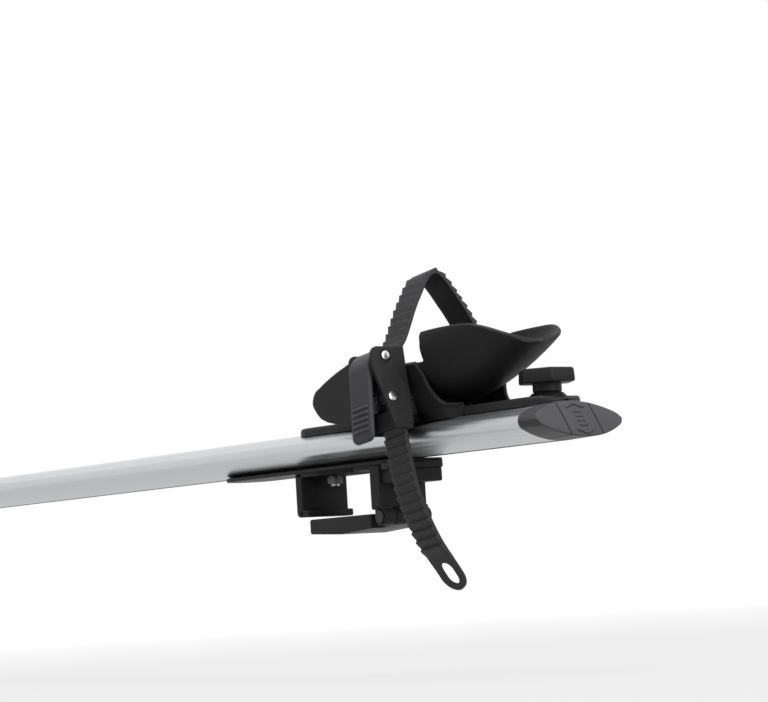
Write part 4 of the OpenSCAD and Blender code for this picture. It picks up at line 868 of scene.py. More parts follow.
def dense(outline, step=0.6):
    """The outline with points no further apart than the step."""
    loop = np.concatenate([outline, outline[:1]])
    run = np.r_[0, np.cumsum(np.linalg.norm(np.diff(loop, axis=0), axis=1))]
    s = np.linspace(0, run[-1], int(run[-1]/step), endpoint=False)
    return np.stack([np.interp(s, run, loop[:, 0]), np.interp(s, run, loop[:, 1])], 1)


def stadium(half, right, left):
    """Half circles of radius half about right and left, with straight sides between them."""
    a = np.linspace(0, np.pi, 60)
    return dense(np.concatenate([np.stack([right + half*np.sin(a), half*np.cos(a)], 1),
                                 np.stack([left - half*np.sin(a), -half*np.cos(a)], 1)]), 0.3)


def by_angle(outline, angle):
    """Distance from the origin to the outline round it, at each angle."""
    way = np.arctan2(outline[:, 1], outline[:, 0]) % (2*np.pi)
    order = np.argsort(way)
    return np.interp(angle, way[order], np.hypot(*outline.T)[order], period=2*np.pi)


def closed(p):
    """A grid whose rows and columns both close on themselves."""
    rows, cols = p.shape[:2]
    return p.reshape(-1, 3), [quads(rows + 1, cols, ring=True) % (rows*cols)]


def strap_tail():
    """Rows by angle about the hole: out from the hole to the rim on one face, back on the other."""
    angle = np.linspace(0, 2*np.pi, 96, endpoint=False)
    hole = by_angle(stadium(HOLE_R, HOLE_HALF, -HOLE_HALF), angle)
    edge = by_angle(stadium(STRAP_W/2, TIP_OUT - STRAP_W/2, TAIL_IN), angle)
    out = [hole, hole + HOLE_SOFT, edge - RIM_SOFT, edge]
    r = np.stack([*out, *out[::-1]], 1)
    low = np.array([HOLE_SOFT, 0, 0, HOLE_SOFT])
    h = np.broadcast_to(np.r_[low, BAND_T - low], r.shape)
    angle = angle[:, None]
    return closed(on_strap(r*np.sin(angle), STRAP_LEN - HOLE_MID + r*np.cos(angle), h))


strap = join(strap_band(), strap_tail())
for end, (at_end, _) in ENDS.items():
    piece(end + "_strap_moulding", strap, at_end, STRAP, end + "_tray", end + "_strap", crisp=32)

# %% [markdown]
# The buckle has two cheeks with a back plate between them, and a gate in front of the teeth. The
# upper pin lies in a round recess of each cheek. A cheek is again a grid that closes both ways,
# from the recess out to the outline and back, and a thin disc is the floor of the recess.

# %% Buckle
CHEEK_IN, CHEEK_T, CHEEK_EDGE, RECESS_R, RECESS_SOFT = 12.15, 2.4, 0.5, 4.3, 0.4
RECESS, DISC_R, DISC_HALF, DISC_OUT = np.array([-50.6, 44.8]), 4.7, 0.5, 0.55
BUCKLE_BACK, BUCKLE_LOW, BUCKLE_TOP, FAR_SHALLOW = -36.0, 2.0, 51.5, 0.86
PLATE_HALF, PLATE_T, PLATE_Y, PLATE_TOP = 12.3, 2.0, -37.0, 42.0
GATE_Y, GATE_LOW, GATE_TOP = -43.3, 4.0, 14.9
BROW, BROW_R, THROAT, HEEL, HEEL_R = (-55.5, 46.5), 5.0, (-60.5, 38.1), (-47.0, 5.5), 3.5


def arc(centre, r, start, end, n):
    """Points of a circle between two angles in degrees."""
    a = np.radians(np.linspace(start, end, n))
    return np.asarray(centre) + r*np.stack([np.cos(a), np.sin(a)], 1)


def cheek(outline):
    """Rows by angle about the recess: out to the outline on one face, and back on the other."""
    angle = np.linspace(0, 2*np.pi, 120, endpoint=False)
    far = by_angle(outline - RECESS, angle)
    near = np.full_like(far, RECESS_R)
    half, edge, soft = CHEEK_T/2, CHEEK_EDGE, RECESS_SOFT
    out = [near, near + soft, far - edge, far - 0.3*edge, far]
    r = np.stack([*out, *out[::-1]], 1)
    x = np.array([soft, 0, 0, 0.3*edge, edge]) - half
    x = np.broadcast_to(np.r_[x, -x[::-1]], r.shape)
    angle = angle[:, None]
    return closed(np.stack([x, RECESS[0] + r*np.cos(angle), RECESS[1] + r*np.sin(angle)], -1))


def cross_plate(low, top, y):
    """A plate across the buckle, between its cheeks."""
    outline = corners(oblong(-PLATE_HALF, PLATE_HALF, low, top), 0.5)
    return shift(slab(outline, PLATE_T, "y", 0.4), y=y)


def buckle():
    """Two cheeks with a recess, the plate behind the strap, and the gate in front of its teeth."""
    face = np.concatenate([[[BUCKLE_BACK, BUCKLE_LOW], [BUCKLE_BACK, BUCKLE_TOP]],
                           arc(BROW, BROW_R, 90, 180, 9), [THROAT],
                           arc(HEEL, HEEL_R, 200, 270, 7)])
    near = dense(corners(face, 0.3))
    far = near*[FAR_SHALLOW, 1] + [BUCKLE_BACK*(1 - FAR_SHALLOW), 0]
    shells = [cross_plate(BUCKLE_LOW, PLATE_TOP, PLATE_Y), cross_plate(GATE_LOW, GATE_TOP, GATE_Y)]
    disc = lathe(bead(DISC_R, DISC_HALF, 0.2), axis="x")
    for side, outline in zip(SIDES, (far, near)):
        shells.append(shift(cheek(outline), x=side*(CHEEK_IN + CHEEK_T/2)))
        shells.append(shift(disc, side*(CHEEK_IN + DISC_OUT), *RECESS))
    return leaning(join(*shells))


for end, (at_end, _) in ENDS.items():
    name = end + "_buckle"
    piece(name + "_moulding", buckle(), at_end, CHARCOAL, end + "_tray", name, crisp=35)

# %% [markdown]
# The lever hangs from the upper pin, thin and almost straight, with grip ribs across its lower end.
# It is a slab through its side outline. Its tip has round corners in the other view, so the rings
# of the slab are many, and the points near both sides are lifted along a circle.

# %% Buckle lever
LEVER_PIN, LEVER_W, HUB_R = np.array([-50.0, 46.0]), 19.6, 6.0
BEND, BEND_R, TIP, TIP_R, TIP_CORNER, CORNER_TOP = (-47.6, 37.5), 14.0, (-63.6, -2.9), 1.6, 4.5, 4.0
LEVER_INNER = [[-62.0, -2.9], [-58.4, 34.5], [-53.4, 41.1]]
RIB_R, RIB_HALF, RIB_FROM, RIB_PITCH, RIBS, RIB_Y, LEVER_SLOPE = 1.2, 8.0, 5.7, 3.4, 5, -61.4, 3.6


def lever():
    """The side outline with depth, and ribs at y = RIB_Y - slope (1 - rise/full rise)."""
    hub = arc(LEVER_PIN, HUB_R, 235, 425, 20)
    shoulder = arc(BEND, BEND_R, 100, 180, 18)
    tip = arc(TIP, TIP_R, 180, 360, 9)
    inner = corners(LEVER_INNER, 3.0)[5:10]
    points, faces = slab(np.concatenate([hub, shoulder, tip, inner]), LEVER_W, "x", 1.0, 5, 24)
    beside = np.clip(np.abs(points[:, 0]) - LEVER_W/2 + TIP_CORNER, 0, TIP_CORNER - 0.05)
    lift = TIP_CORNER - np.sqrt(TIP_CORNER**2 - beside**2)
    points[:, 2] += lift*(1 - smooth(points[:, 2], TIP[1] - TIP_R, CORNER_TOP))
    rib = lathe(bead(RIB_R, RIB_HALF, 0.9), axis="x", turns=20)
    full = BEND[1] - TIP[1]
    ribs = [shift(rib, 0, RIB_Y - LEVER_SLOPE*(1 - rise/full), TIP[1] + rise)
            for rise in RIB_FROM + RIB_PITCH*np.arange(RIBS)]
    return leaning(join((points, faces), *ribs))


for end, (at_end, _) in ENDS.items():
    swing = end + "_buckle_lever"
    piece(end + "_lever_moulding", lever(), at_end, GREY, swing, end + "_buckle_lever", crisp=40)

# %% [markdown]
# Two pins cross the buckle. Their heads are bright. Their rods only show through the gaps between
# the cheeks, and their dark colour is painted shade there, so each is a piece with its own finish.
# The lower pin carries the pawl and a small wound spring, also dark as painted shade. The Screw
# modifier could wind it, but a circle carried along a helix is one formula.

# %% Buckle pins and spring
PAWL_PIN, HEAD_R, PIN_R = np.array([-49.5, 21.0]), 2.8, 2.45
PINS = {"lever_pin": (LEVER_PIN, 13.55), "pawl_pin": (PAWL_PIN, 14.55)}
COIL_R, WIRE_R, COIL_PITCH, COILS, COIL_X = 3.25, 0.4, 1.3, 3, 5.7


def pin_heads(half):
    """A flat head at each end of a pin, soft at its edge."""
    r = np.array([0.05, HEAD_R, HEAD_R, HEAD_R - 0.12, HEAD_R - 0.4, 0.05])
    top = np.stack([r, half + np.array([-0.2, -0.2, 0.7, 0.92, 1, 1])], 1)
    return join(lathe(top, axis="x"), lathe(top[::-1]*[1, -1], axis="x"))


def pin_rod(half):
    """The pin between its heads."""
    return lathe(bead(PIN_R, half - 0.1, 0.2), axis="x")


def spring():
    """A round wire wound about the pin: centre (p a, R cos a, R sin a), wire circle about it."""
    a = np.linspace(0, COILS*2*np.pi, 145)[:, None]
    b = np.linspace(0, 2*np.pi, 12, endpoint=False)[None, :]
    r = COIL_R + WIRE_R*np.cos(b)
    return tube(np.stack([COIL_PITCH*a/(2*np.pi) + WIRE_R*np.sin(b), r*np.cos(a), r*np.sin(a)], -1))


coil = leaning(shift(spring(), COIL_X, *PAWL_PIN))
for end, (at_end, _) in ENDS.items():
    tray_body = end + "_tray"
    for pin, (middle, half) in PINS.items():
        heads, rod = (leaning(shift(made(half), 0, *middle)) for made in (pin_heads, pin_rod))
        piece(f"{end}_{pin}_heads", heads, at_end, BRIGHT, tray_body, f"{end}_{pin}")
        piece(f"{end}_{pin}_rod", rod, at_end, DARK_STEEL_PAINTED_SHADE, tray_body)
    piece(end + "_pawl_coil", coil, at_end, DARK_STEEL_PAINTED_SHADE, tray_body, end + "_pawl_spring")

# %% [markdown]
# Two clamps hang under the rail. Each has a long plate, a post with a lug at one side of its
# opening, a hook at the other, and a lever on a hinge that closes it. They are blocks in the
# main, so a helper makes a block from its limits. Scaled cubes would do for the blocks, but their
# bevels would be scaled too.

# %% Clamp plate and post
CLAMP_W, CLAMP_HALF, SEAT_T, PLATE_IN, PLATE_OUT = 36.0, 18.0, 2.5, -119.0, 67.0
POST_IN, POST_OUT, POST_LOW, FLANGE_IN = 36.0, 46.0, -25.0, 18.0
COVER_LOW, COVER_TOP, LUG_HALF, LUG_LOW, LUG_TOP = -1.2, 4.6, 16.0, -9.5, -1.0
HINGE_X, HINGE_Z, HINGE_IN, HINGE_OUT, HINGE_TOP = 45.0, -29.6, 39.4, 47.6, -23.0
BARREL_R, BARREL_Y, BARREL_HALF = 5.6, 13.7, 4.3


def box(x0, x1, y0, y1, z0, z1, axis, r=1.0, edge=0.6):
    """A block with rounded upright edges and softened rims."""
    spans = {"x": (x0, x1), "y": (y0, y1), "z": (z0, z1)}
    (a0, a1), (b0, b1) = [spans[k] for k in "xyz" if k != axis]
    low, high = spans[axis]
    outline = corners(oblong(a0, a1, b0, b1), r)
    return shift(slab(outline, high - low, axis, edge), **{axis: (low + high)/2})


def clamp_plate():
    """The plate, round at its inner end, and the deeper cover over the lug."""
    outer = corners(oblong(0, PLATE_OUT, -CLAMP_HALF, CLAMP_HALF), [0.1, 5, 5, 0.1])[5:15]
    outline = np.concatenate([arc((PLATE_IN, 0), CLAMP_HALF, 90, 270, 20), outer])
    plate = shift(slab(outline, SEAT_T, "z", 0.6), z=1.5*SEAT_T)
    return join(plate, box(POST_OUT, PLATE_OUT, -CLAMP_HALF, CLAMP_HALF, COVER_LOW, COVER_TOP, "z",
                           4.5, 1.0))


def clamp_post():
    """The post, its flange, the box of the lug, and two barrels of the hinge."""
    outline = corners(oblong(POST_IN, POST_OUT, POST_LOW, SEAT_T), [1.5, 1.5, 0.3, 0.3])
    shells = [slab(outline, CLAMP_W, "y", 0.8),
              box(FLANGE_IN, POST_IN + 1, -CLAMP_HALF, CLAMP_HALF, 0, SEAT_T, "z", 2.0, 0.5),
              box(POST_OUT - 1, PLATE_OUT, -LUG_HALF, LUG_HALF, LUG_LOW, LUG_TOP, "z", 2.4, 1.0)]
    barrel = lathe(bead(BARREL_R, BARREL_HALF), axis="y")
    for y in (-BARREL_Y, BARREL_Y):
        shells.append(shift(barrel, HINGE_X, y, HINGE_Z))
        shells.append(box(HINGE_IN, HINGE_OUT, y - BARREL_HALF, y + BARREL_HALF, HINGE_Z, HINGE_TOP,
                          "z"))
    return join(*shells)


print("the clamp's post is", POST_OUT - POST_IN, "by", CLAMP_W, "mm")

# %% [markdown]
# The hook and the lever close the opening. The lever's underside swells a little along its length.
# A large bow at one corner of its outline gives that swell, where a subdivided block would soften
# its other edges as well.

# %% Clamp hook and lever
HOOK_IN, HOOK_OUT, HOOK_LOW, TOE_IN, TOE_TOP = -37.5, -44.5, -25.5, -32.0, -21.0
CLAMP_ARM = [[-31, -27.4], [35.3, -27.4], [35.3, -36.2], [2, -38.4], [-31, -36.8]]
CLAMP_ROOT = [[34, -27.4], [HINGE_X, -27.4], [HINGE_X, -35.2], [34, -36.2]]
ROOT_W, LEVER_BARREL_HALF = 18.0, 9.0


def clamp_hook():
    """The flange and the hook at the opening's front, with its toe."""
    leg = corners(oblong(HOOK_OUT, HOOK_IN, HOOK_LOW, SEAT_T), [4.5, 0.3, 0.3, 0.3])
    toe = corners(oblong(HOOK_IN - 3, TOE_IN, HOOK_LOW, TOE_TOP), [0.3, 1.2, 1, 0.3])
    flange = box(HOOK_OUT, -FLANGE_IN, -CLAMP_HALF, CLAMP_HALF, 0, SEAT_T, "z", 2.0, 0.5)
    return join(*[slab(outline, CLAMP_W, "y", 0.8) for outline in (leg, toe)], flange)


def clamp_lever():
    """A long lever with a slightly convex underside, and its barrel."""
    arm = slab(corners(CLAMP_ARM, [1.6, 0.6, 0.6, 30, 1.6], 7), CLAMP_W, "y", 1.0)
    root = slab(corners(CLAMP_ROOT, 0.4), ROOT_W, "y", 0.5)
    barrel = lathe(bead(BARREL_R, LEVER_BARREL_HALF), axis="y")
    return join(arm, root, shift(barrel, HINGE_X, 0, HINGE_Z))


print("the clamp's opening is", POST_IN - HOOK_IN, "mm wide")

# %% [markdown]
# Nuts on thread ends show under the plates and on the arm's base. A real thread is a helix. It
# could be swept, but a rod whose radius is a saw of height minus turn is the same surface and
# closes by itself.

# %% Nuts and clamps
NUT_BORE, NUT_ACROSS, NUT_H, BOLT_END, BOLT_PITCH, CLAMP_NUT_X = 3.0, 10.0, 5.2, 6.6, 1.0, 26.0
PAD_HALF = 17.7


def hex_nut(bore, across, height):
    """A nut whose corners are turned down at both faces."""
    r = across/np.sqrt(3)
    profile = [[bore, 0], [r*0.9, 0], [r, 0.5], [r, height - 0.5], [r*0.9, height], [bore, height]]
    return lathe(profile, turns=72, facets=6, weight=[0, 0.25, 1, 1, 0.25, 0])


def thread(r, length, pitch):
    """A rod whose radius is a saw of height minus turn: r(a, z) = r - depth |2 frac - 1|."""
    z = np.linspace(0, length, int(length/pitch*8) + 1)[:, None]
    a = np.linspace(0, 2*np.pi, 36, endpoint=False)[None, :]
    saw = np.abs(2*((z/pitch - a/(2*np.pi)) % 1) - 1)
    rad = (r - 0.6*pitch*saw)*np.where(z > length - 0.4, 0.9, 1.0)
    return tube(np.stack([rad*np.cos(a), rad*np.sin(a), np.broadcast_to(z, rad.shape)], -1))


nut = join(hex_nut(NUT_BORE, NUT_ACROSS, NUT_H), thread(NUT_BORE, BOLT_END, BOLT_PITCH))
clamp_nuts = join(*[shift(mirror(nut, "z"), x=side*CLAMP_NUT_X) for side in SIDES])
clamp_pad = box(-PAD_HALF, PAD_HALF, -CLAMP_HALF, CLAMP_HALF, 0, SEAT_T, "z", 0.8, 0.4)
for end, (_, at_seat) in ENDS.items():
    name = end + "_clamp_"
    piece(name + "plate_moulding", clamp_plate(), at_seat, BLACK, "carrier", name + "plate")
    piece(name + "pad_rubber", clamp_pad, at_seat, RUBBER, "carrier", name + "pad")
    piece(name + "post_moulding", clamp_post(), at_seat, CHARCOAL, "carrier", name + "post")
    piece(name + "hook_moulding", clamp_hook(), at_seat, CHARCOAL, "carrier", name + "hook")
    piece(name + "lever_moulding", clamp_lever(), at_seat, BLACK, name + "lever", name + "lever")
    piece(name + "nut_faces", clamp_nuts, at_seat, DULL_ZINC, "carrier", name + "nuts")

# %% [markdown]
# The folding arm has a base with two ears, a knuckle on the pivot bolt, and a tube. The base is
# the same saddle as the tray's deck, with ears as slabs; the rest is turned. The base keeps still
# on the carrier, and the knuckle and tube ride on the arm.

# %% Arm
BASE_HALF, BASE_HALF_LEN, BASE_TOP, BASE_EDGE, BASE_GAP = 20.0, 45.0, 14.5, 1.2, 0.02
EAR_R, EAR_T, EAR_Y, EAR_FOOT, EAR_LOW, BASE_NUT_X = 13.0, 5.0, 13.5, 22.0, 30.0, 34.0
PIVOT_R, PIVOT_HALF, PIVOT_ACROSS, PIVOT_HEAD = 5.0, 16.0, 14.7, 5.0
TUBE_R, TUBE_IN, TUBE_FROM, TUBE_TO = 11.0, 9.4, 35.5, 424.0
SOCKET_IN, SOCKET_R, DRUM_R, DRUM_HALF = 11.05, 15.0, 14.0, 10.6
KNUCKLE = [[1, 4], [10.6, 4], [10.6, 22.4], [11.4, 24], [14.4, 34], [SOCKET_R, 35.4],
           [SOCKET_R, 60.4], [14.4, 61.4], [SOCKET_IN, 61.4], [SOCKET_IN, 40]]


def arm_base():
    """A saddle on the rail and two ears round the pivot."""
    ends = BASE_HALF_LEN - np.array([0, 0.4, 1.2])
    x = np.r_[-ends, np.linspace(-42, 42, 12), ends[::-1]][:, None]
    rounding = BASE_EDGE*np.clip((np.abs(x) - ends[-1])/BASE_EDGE, 0, 1)**2
    points, faces = saddle(x, BASE_HALF - rounding, BASE_TOP - rounding, BASE_EDGE,
                           lambda y: half_height(y) + BASE_GAP)
    foot = [[-EAR_FOOT, EAR_LOW], [EAR_FOOT, EAR_LOW]]
    ear = slab(np.concatenate([arc((0, ARM_Z), EAR_R, 8, 172, 24), foot]), EAR_T, "y", 0.9)
    ears = [shift(ear, ARM_X, side*EAR_Y) for side in SIDES]
    return join((points + [ARM_X, 0, RAIL_Z], faces), *ears)


def pivot_bolt():
    """A hexagon head at each end of the pivot."""
    head = hex_nut(0.1, PIVOT_ACROSS, PIVOT_HEAD)
    heads = [lay(head, side*PIVOT_HALF, side) for side in SIDES]
    return shift(join(*heads, lathe(bead(PIVOT_R, PIVOT_HALF), axis="y")), ARM_X, 0, ARM_Z)


def knuckle():
    """A drum on the pivot, a neck, and the socket that takes the tube."""
    drum = lathe(bead(DRUM_R, DRUM_HALF, 0.9), axis="y", turns=64)
    return join(drum, lathe(KNUCKLE, turns=64))


base_nuts = join(*[shift(nut, ARM_X + side*BASE_NUT_X, 0, RAIL_Z + BASE_TOP) for side in SIDES])
arm_tube = lathe([[TUBE_IN, TUBE_FROM], [TUBE_R, TUBE_FROM], [TUBE_R, TUBE_TO], [TUBE_IN, TUBE_TO]],
                 turns=64)
piece("arm_base_moulding", arm_base(), at_rear_seat, CHARCOAL, "carrier", "arm_base")
piece("arm_base_nut_faces", base_nuts, at_rear_seat, ZINC, "carrier", "arm_base_nuts")
piece("arm_pivot_hexes", pivot_bolt(), at_rear_seat, ZINC, "carrier", "arm_pivot_bolt")
piece("arm_knuckle_moulding", knuckle(), at_arm, CHARCOAL, "arm", "arm_knuckle")
piece("arm_tube_drawn", arm_tube, at_arm, TUBE_ANODISED, "arm", "arm_tube", crisp=60)

# %% [markdown]
# The claw has a fixed jaw and a sliding jaw, each the quarter of a ring with a foot, lined with
# ribbed rubber. They could be cut from a torus, but as slabs through one outline both jaws come
# from the same function, the second in a mirror.

# %% Claw jaws
CLAW_Z, JAW_Z, JAW_R, JAW_IN, JAW_T, JAW_FOOT = 430.0, 470.0, 32.0, 24.0, 36.0, 16.0
FIXED_LOW, SLIDING_LOW, BLOCK_HALF, BLOCK_LOW, BLOCK_TOP = 443.0, 444.3, 8.0, 433.3, 447.0
PAD_R, PAD_W, PAD_RIB, PAD_RIBS = 20.0, 35.5, 0.35, 18
GUIDE_X, GUIDE_T, GUIDE_END, GUIDE_TOP = 11.3, 3.0, 66.0, 444.0
BED_HALF, BED_T, STOP_IN = 9.0, 3.0, 58.0
CLAW_SOCKET = [[SOCKET_IN, 404], [14.4, 404], [SOCKET_R, 404.6], [SOCKET_R, 430.5], [9, 430.5]]


def jaw(low):
    """One jaw's outline in Y and Z, on the -Y side: a ring's quarter and the foot under it."""
    outer = arc((0, JAW_Z), JAW_R, 104.5, 180, 26)
    inner = arc((0, JAW_Z), JAW_IN, 250.5, 109.5, 40)[4:]
    foot = [[-JAW_R, JAW_Z - 10], [-JAW_R, low], [-JAW_FOOT, low], [-JAW_FOOT, JAW_Z - 20]]
    return slab(np.concatenate([outer, foot, inner]), JAW_T, "x", 1.4, 5)


def pad():
    """The rubber lining, with ribs across it: r = R + rib cos(18 a)."""
    a = np.radians(np.linspace(113, 247, 80))
    r = np.stack([PAD_R + PAD_RIB*np.cos(PAD_RIBS*a), np.full_like(a, JAW_IN)])
    inside, outside = np.stack([r*np.cos(a), JAW_Z + r*np.sin(a)], -1)
    return slab(np.concatenate([inside, outside[::-1]]), PAD_W, "x", 0.6)


def claw_body():
    """The fixed jaw, two guide rails, their bed and stops, and the socket on the tube."""
    guides = [box(x - GUIDE_T, x + GUIDE_T, -JAW_R, GUIDE_END, CLAW_Z, GUIDE_TOP, "y")
              for x in (-GUIDE_X, GUIDE_X)]
    bed = box(-BED_HALF, BED_HALF, -JAW_R, GUIDE_END, CLAW_Z, CLAW_Z + BED_T, "y", 0.6)
    stops = [box(-BED_HALF, BED_HALF, STOP_IN, GUIDE_END, CLAW_Z, GUIDE_TOP, "y", 0.8),
             box(-BED_HALF, BED_HALF, -JAW_R, -JAW_FOOT, CLAW_Z, GUIDE_TOP + 2, "y", 0.8)]
    return join(jaw(FIXED_LOW), *guides, bed, *stops, lathe(CLAW_SOCKET, turns=64))


def claw_jaw():
    """The sliding jaw and the block that runs between the rails."""
    block = box(-BLOCK_HALF, BLOCK_HALF, JAW_FOOT, JAW_R, BLOCK_LOW, BLOCK_TOP, "y", 0.8)
    return join(mirror(jaw(SLIDING_LOW), "y"), block)


piece("claw_body_moulding", claw_body(), at_arm, CHARCOAL, "arm", "claw_body")
piece("claw_fixed_lining", pad(), at_arm, RUBBER, "arm", "claw_fixed_pad")
piece("claw_jaw_moulding", claw_jaw(), at_arm, CHARCOAL, "claw_jaw", "claw_jaw")
piece("claw_moving_lining", mirror(pad(), "y"), at_arm, RUBBER, "claw_jaw", "claw_moving_pad")

# %% [markdown]
# The knob on the claw's screw draws the sliding jaw in and out. Its grip has eight flutes, which
# are a cosine taken off the radius, row by row. A lock sits in its face, and a thin dark sheet on
# the lock's face is painted shade for its key slot. These pieces are made upright, and then laid
# along the screw.

# %% Claw knob
SCREW_Z, SCREW_R, SCREW_LEN, SCREW_PITCH, SCREW_FROM = 437.0, 4.0, 110.0, 5.0, -44.0
FLUTES, FLUTE_DEEP, KNOB_FACE, LOCK_FACE = 8, 1.6, -33.0, -46.0
GRIP = np.array([[4.1, 0, 0], [10.6, 0, 0], [11, 0.5, 0], [11, 4, 0], [18.6, 4, 0.9],
                 [19.7, 4.6, 1], [20, 5.6, 1], [19.8, 13, 1], [19.5, 20.4, 1], [18.8, 21.5, 0.9],
                 [17.6, 22, 0.7], [9.4, 22, 0], [8.1, 21.4, 0], [8.1, 13, 0]])
LOCK = [[7.9, 0], [7.95, 7.4], [7.5, 8.6], [6.2, 9.0], [5.9, 8.5], [0.1, 8.5]]
KEY_W, KEY_H, KEY_T, KEY_OUT = 1.4, 7.0, 0.5, 8.6


def claw_knob():
    """A profile of (radius, height, weight), turned: r = radius - weight (flute(angle) + 0.3)."""
    angle = np.linspace(0, 2*np.pi, 128, endpoint=False)
    radius, height, weight = GRIP.T[:, :, None]
    r = radius - weight*(FLUTE_DEEP*np.maximum(np.cos(FLUTES*angle), -0.2) + 0.3)
    height = np.broadcast_to(height, r.shape)
    return tube(np.stack([r*np.cos(angle), r*np.sin(angle), height], -1))


def on_screw(shell, start, way=1):
    """An upright shell laid along the screw."""
    return shift(lay(shell, start, way), z=SCREW_Z)


# Painted shade: a thin dark rubber sheet on the lock's face stands in for the shade in its key
# slot.
key_hole = corners(oblong(-KEY_W/2, KEY_W/2, -KEY_H/2, KEY_H/2), 0.4)
shade_in_keyway = shift(slab(key_hole, KEY_T, "z", 0.15), z=KEY_OUT)
screw = on_screw(thread(SCREW_R, SCREW_LEN, SCREW_PITCH), SCREW_FROM)
grip = on_screw(claw_knob(), KNOB_FACE, -1)
lock_barrel, lock_shade_in_keyway = (on_screw(k, LOCK_FACE, -1) for k in (lathe(LOCK), shade_in_keyway))
piece("claw_screw_thread", screw, at_arm, ZINC, "claw_knob", "claw_screw")
piece("claw_knob_moulding", grip, at_arm, BLACK, "claw_knob", "claw_knob", crisp=45)
piece("claw_lock_barrel", lock_barrel, at_arm, ZINC, "claw_knob", "claw_lock")
piece("claw_lock_shade_in_keyway", lock_shade_in_keyway, at_arm, RUBBER, "claw_knob")

# %% [markdown]
# What is left of the CAD, such as bolts inside the slots and the pawls, hardly shows. It keeps its
# own shape and only takes a finish here.

# %% Finishes for CAD pieces
for name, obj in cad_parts.items():
    kind = {"pawl": BLACK, "pin": DARK_STEEL_PAINTED_SHADE}.get(name.split("_")[-1], ZINC)
    obj.data.materials.clear()
    obj.data.materials.append(kind[0])
print("CAD nodes painted:", len(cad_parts))

# %% [markdown]
# The floor of a plain white studio. White paint under strong lamps could give it, but the lamps
# would then bleach the object. So the floor mixes a white glow, which only the camera and
# reflections see, with a matt grey; it fades into the world and keeps a shadow.

# %% Studio floor
FLOOR_Z, FLOOR_HALF, FADE_FROM, FADE_TO, NEAR_GLOW, MATT = -0.13, 9.0, 0.6, 2.2, 0.8, 0.3


def seen(tree):
    """1 for rays from the camera, a mirror or glass, and 0 for rays that gather light."""
    path = tree.nodes.new("ShaderNodeLightPath").outputs
    shiny = maths(tree, "MAXIMUM", path["Is Glossy Ray"], path["Is Transmission Ray"])
    return maths(tree, "MAXIMUM", path["Is Camera Ray"], shiny)


def floor_finish():
    """Matt grey for light, mixed with a share of plain white that grows with distance for the rays
    that see it."""
    material = bpy.data.materials.new("studio_floor")
    material.use_nodes = True
    tree = material.node_tree
    tree.nodes.clear()
    matt = add(tree, "ShaderNodeBsdfDiffuse")
    matt.inputs["Color"].default_value = (MATT, MATT, MATT, 1)
    white = add(tree, "ShaderNodeEmission")
    white.inputs["Color"].default_value = (1, 1, 1, 1)
    distance = add(tree, "ShaderNodeVectorMath", operation="LENGTH")
    feed(tree, tree.nodes.new("ShaderNodeTexCoord").outputs["Object"], distance.inputs[0])
    glow = span(tree, distance.outputs["Value"], FADE_FROM, FADE_TO, NEAR_GLOW, 1.0)
    mix = tree.nodes.new("ShaderNodeMixShader")
    share = maths(tree, "MULTIPLY", seen(tree), glow)
    for value, socket in zip((share, matt.outputs["BSDF"], white.outputs["Emission"]), mix.inputs):
        feed(tree, value, socket)
    add(tree, "ShaderNodeOutputMaterial", surface=mix.outputs["Shader"])
    return material


floor_mesh = bpy.data.meshes.new("floor")
ground = np.c_[oblong(-FLOOR_HALF, FLOOR_HALF, -FLOOR_HALF, FLOOR_HALF), np.full(4, FLOOR_Z)]
floor_mesh.from_pydata(ground.tolist(), [], [(0, 1, 2, 3)])
floor_mesh.materials.append(floor_finish())
floor = bpy.data.objects.new("floor", floor_mesh)
bpy.context.scene.collection.objects.link(floor)
print("studio floor at", FLOOR_Z, "m")

# %% [markdown]
# The world is white to the camera and in reflections, and grey as a light. Two soft lamps shape
# the forms at a plain level, at which a colour renders as it is written.

# %% Lamps and world
WORLD_LIGHT = 0.2


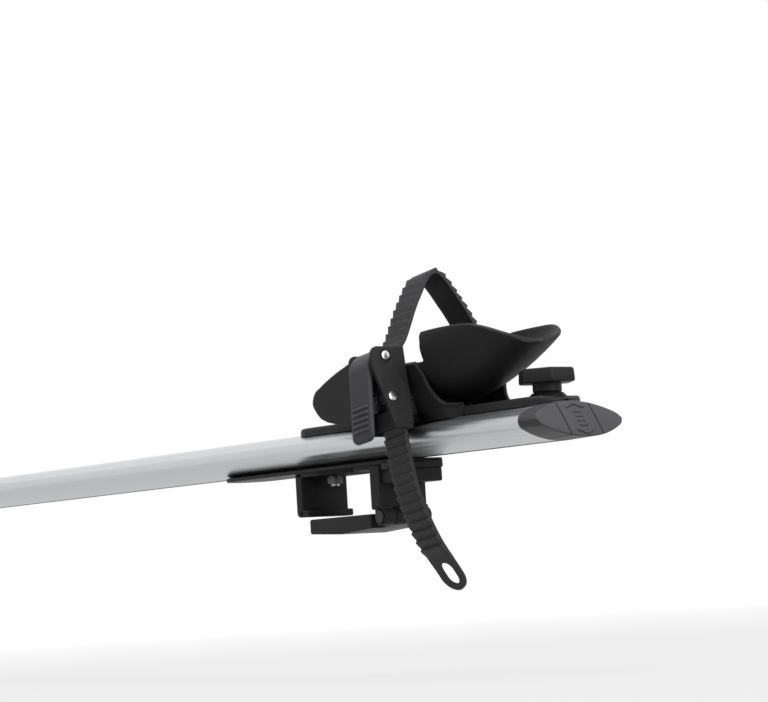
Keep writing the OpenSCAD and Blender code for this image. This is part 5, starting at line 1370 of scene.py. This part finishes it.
def lamp(name, where, target, size, power):
    """A square area lamp that looks at a point."""
    data = bpy.data.lights.new(name, "AREA")
    data.size, data.energy = size, power
    obj = bpy.data.objects.new(name, data)
    obj.location = where
    obj.rotation_euler = (Vector(target) - Vector(where)).to_track_quat("-Z", "Y").to_euler()
    bpy.context.scene.collection.objects.link(obj)
    return obj


lamps = [lamp("key", (0.5, -0.4, 2.7), (-0.1, 0, 0), 2.4, 74.0),
         lamp("fill", (2.6, 0.2, 0.9), (0.1, 0, 0), 1.6, 26.0)]
world = bpy.data.worlds.new("studio")
bpy.context.scene.world = world
world.use_nodes = True
sky = world.node_tree
level = maths(sky, "ADD", maths(sky, "MULTIPLY", seen(sky), 1 - WORLD_LIGHT), WORLD_LIGHT)
feed(sky, level, sky.nodes["Background"].inputs["Strength"])
sky.nodes["Background"].inputs["Color"].default_value = (1, 1, 1, 1)
bpy.context.scene.view_settings.view_transform = "Standard"
print("studio:", len(lamps), "lamps of", [k.data.energy for k in lamps], "W")

# %% [markdown]
# The camera stands as in the photo: a long lens, round to one side and a little below the rail,
# looking up. A Track To constraint could aim it, but not roll it. Three angles give its axes, and
# the axes are the columns of its matrix.

# %% Camera
CAMERA_TURNS, CAMERA_PLACE, LENS = (53.13, 4.9, -3.44), [1.38182, -1.01015, -0.07024], 126.56

yaw, pitch, roll = np.radians(CAMERA_TURNS)
forward = np.array([-np.sin(yaw)*np.cos(pitch), np.cos(yaw)*np.cos(pitch), np.sin(pitch)])
level_right = np.array([np.cos(yaw), np.sin(yaw), 0.0])
level_up = np.cross(level_right, forward)
right = np.cos(roll)*level_right + np.sin(roll)*level_up
up = np.cos(roll)*level_up - np.sin(roll)*level_right
lens = bpy.data.cameras.new("photo")
lens.lens, lens.sensor_width, lens.clip_start = LENS, 36.0, 0.01
camera = bpy.data.objects.new("photo", lens)
turn = np.eye(4)
turn[:3] = np.stack([right, up, -forward, CAMERA_PLACE], 1)
camera.matrix_world = Matrix(turn.tolist())
bpy.context.scene.collection.objects.link(camera)
bpy.context.scene.camera = camera
print("camera at", CAMERA_PLACE, "m, lens", LENS, "mm")
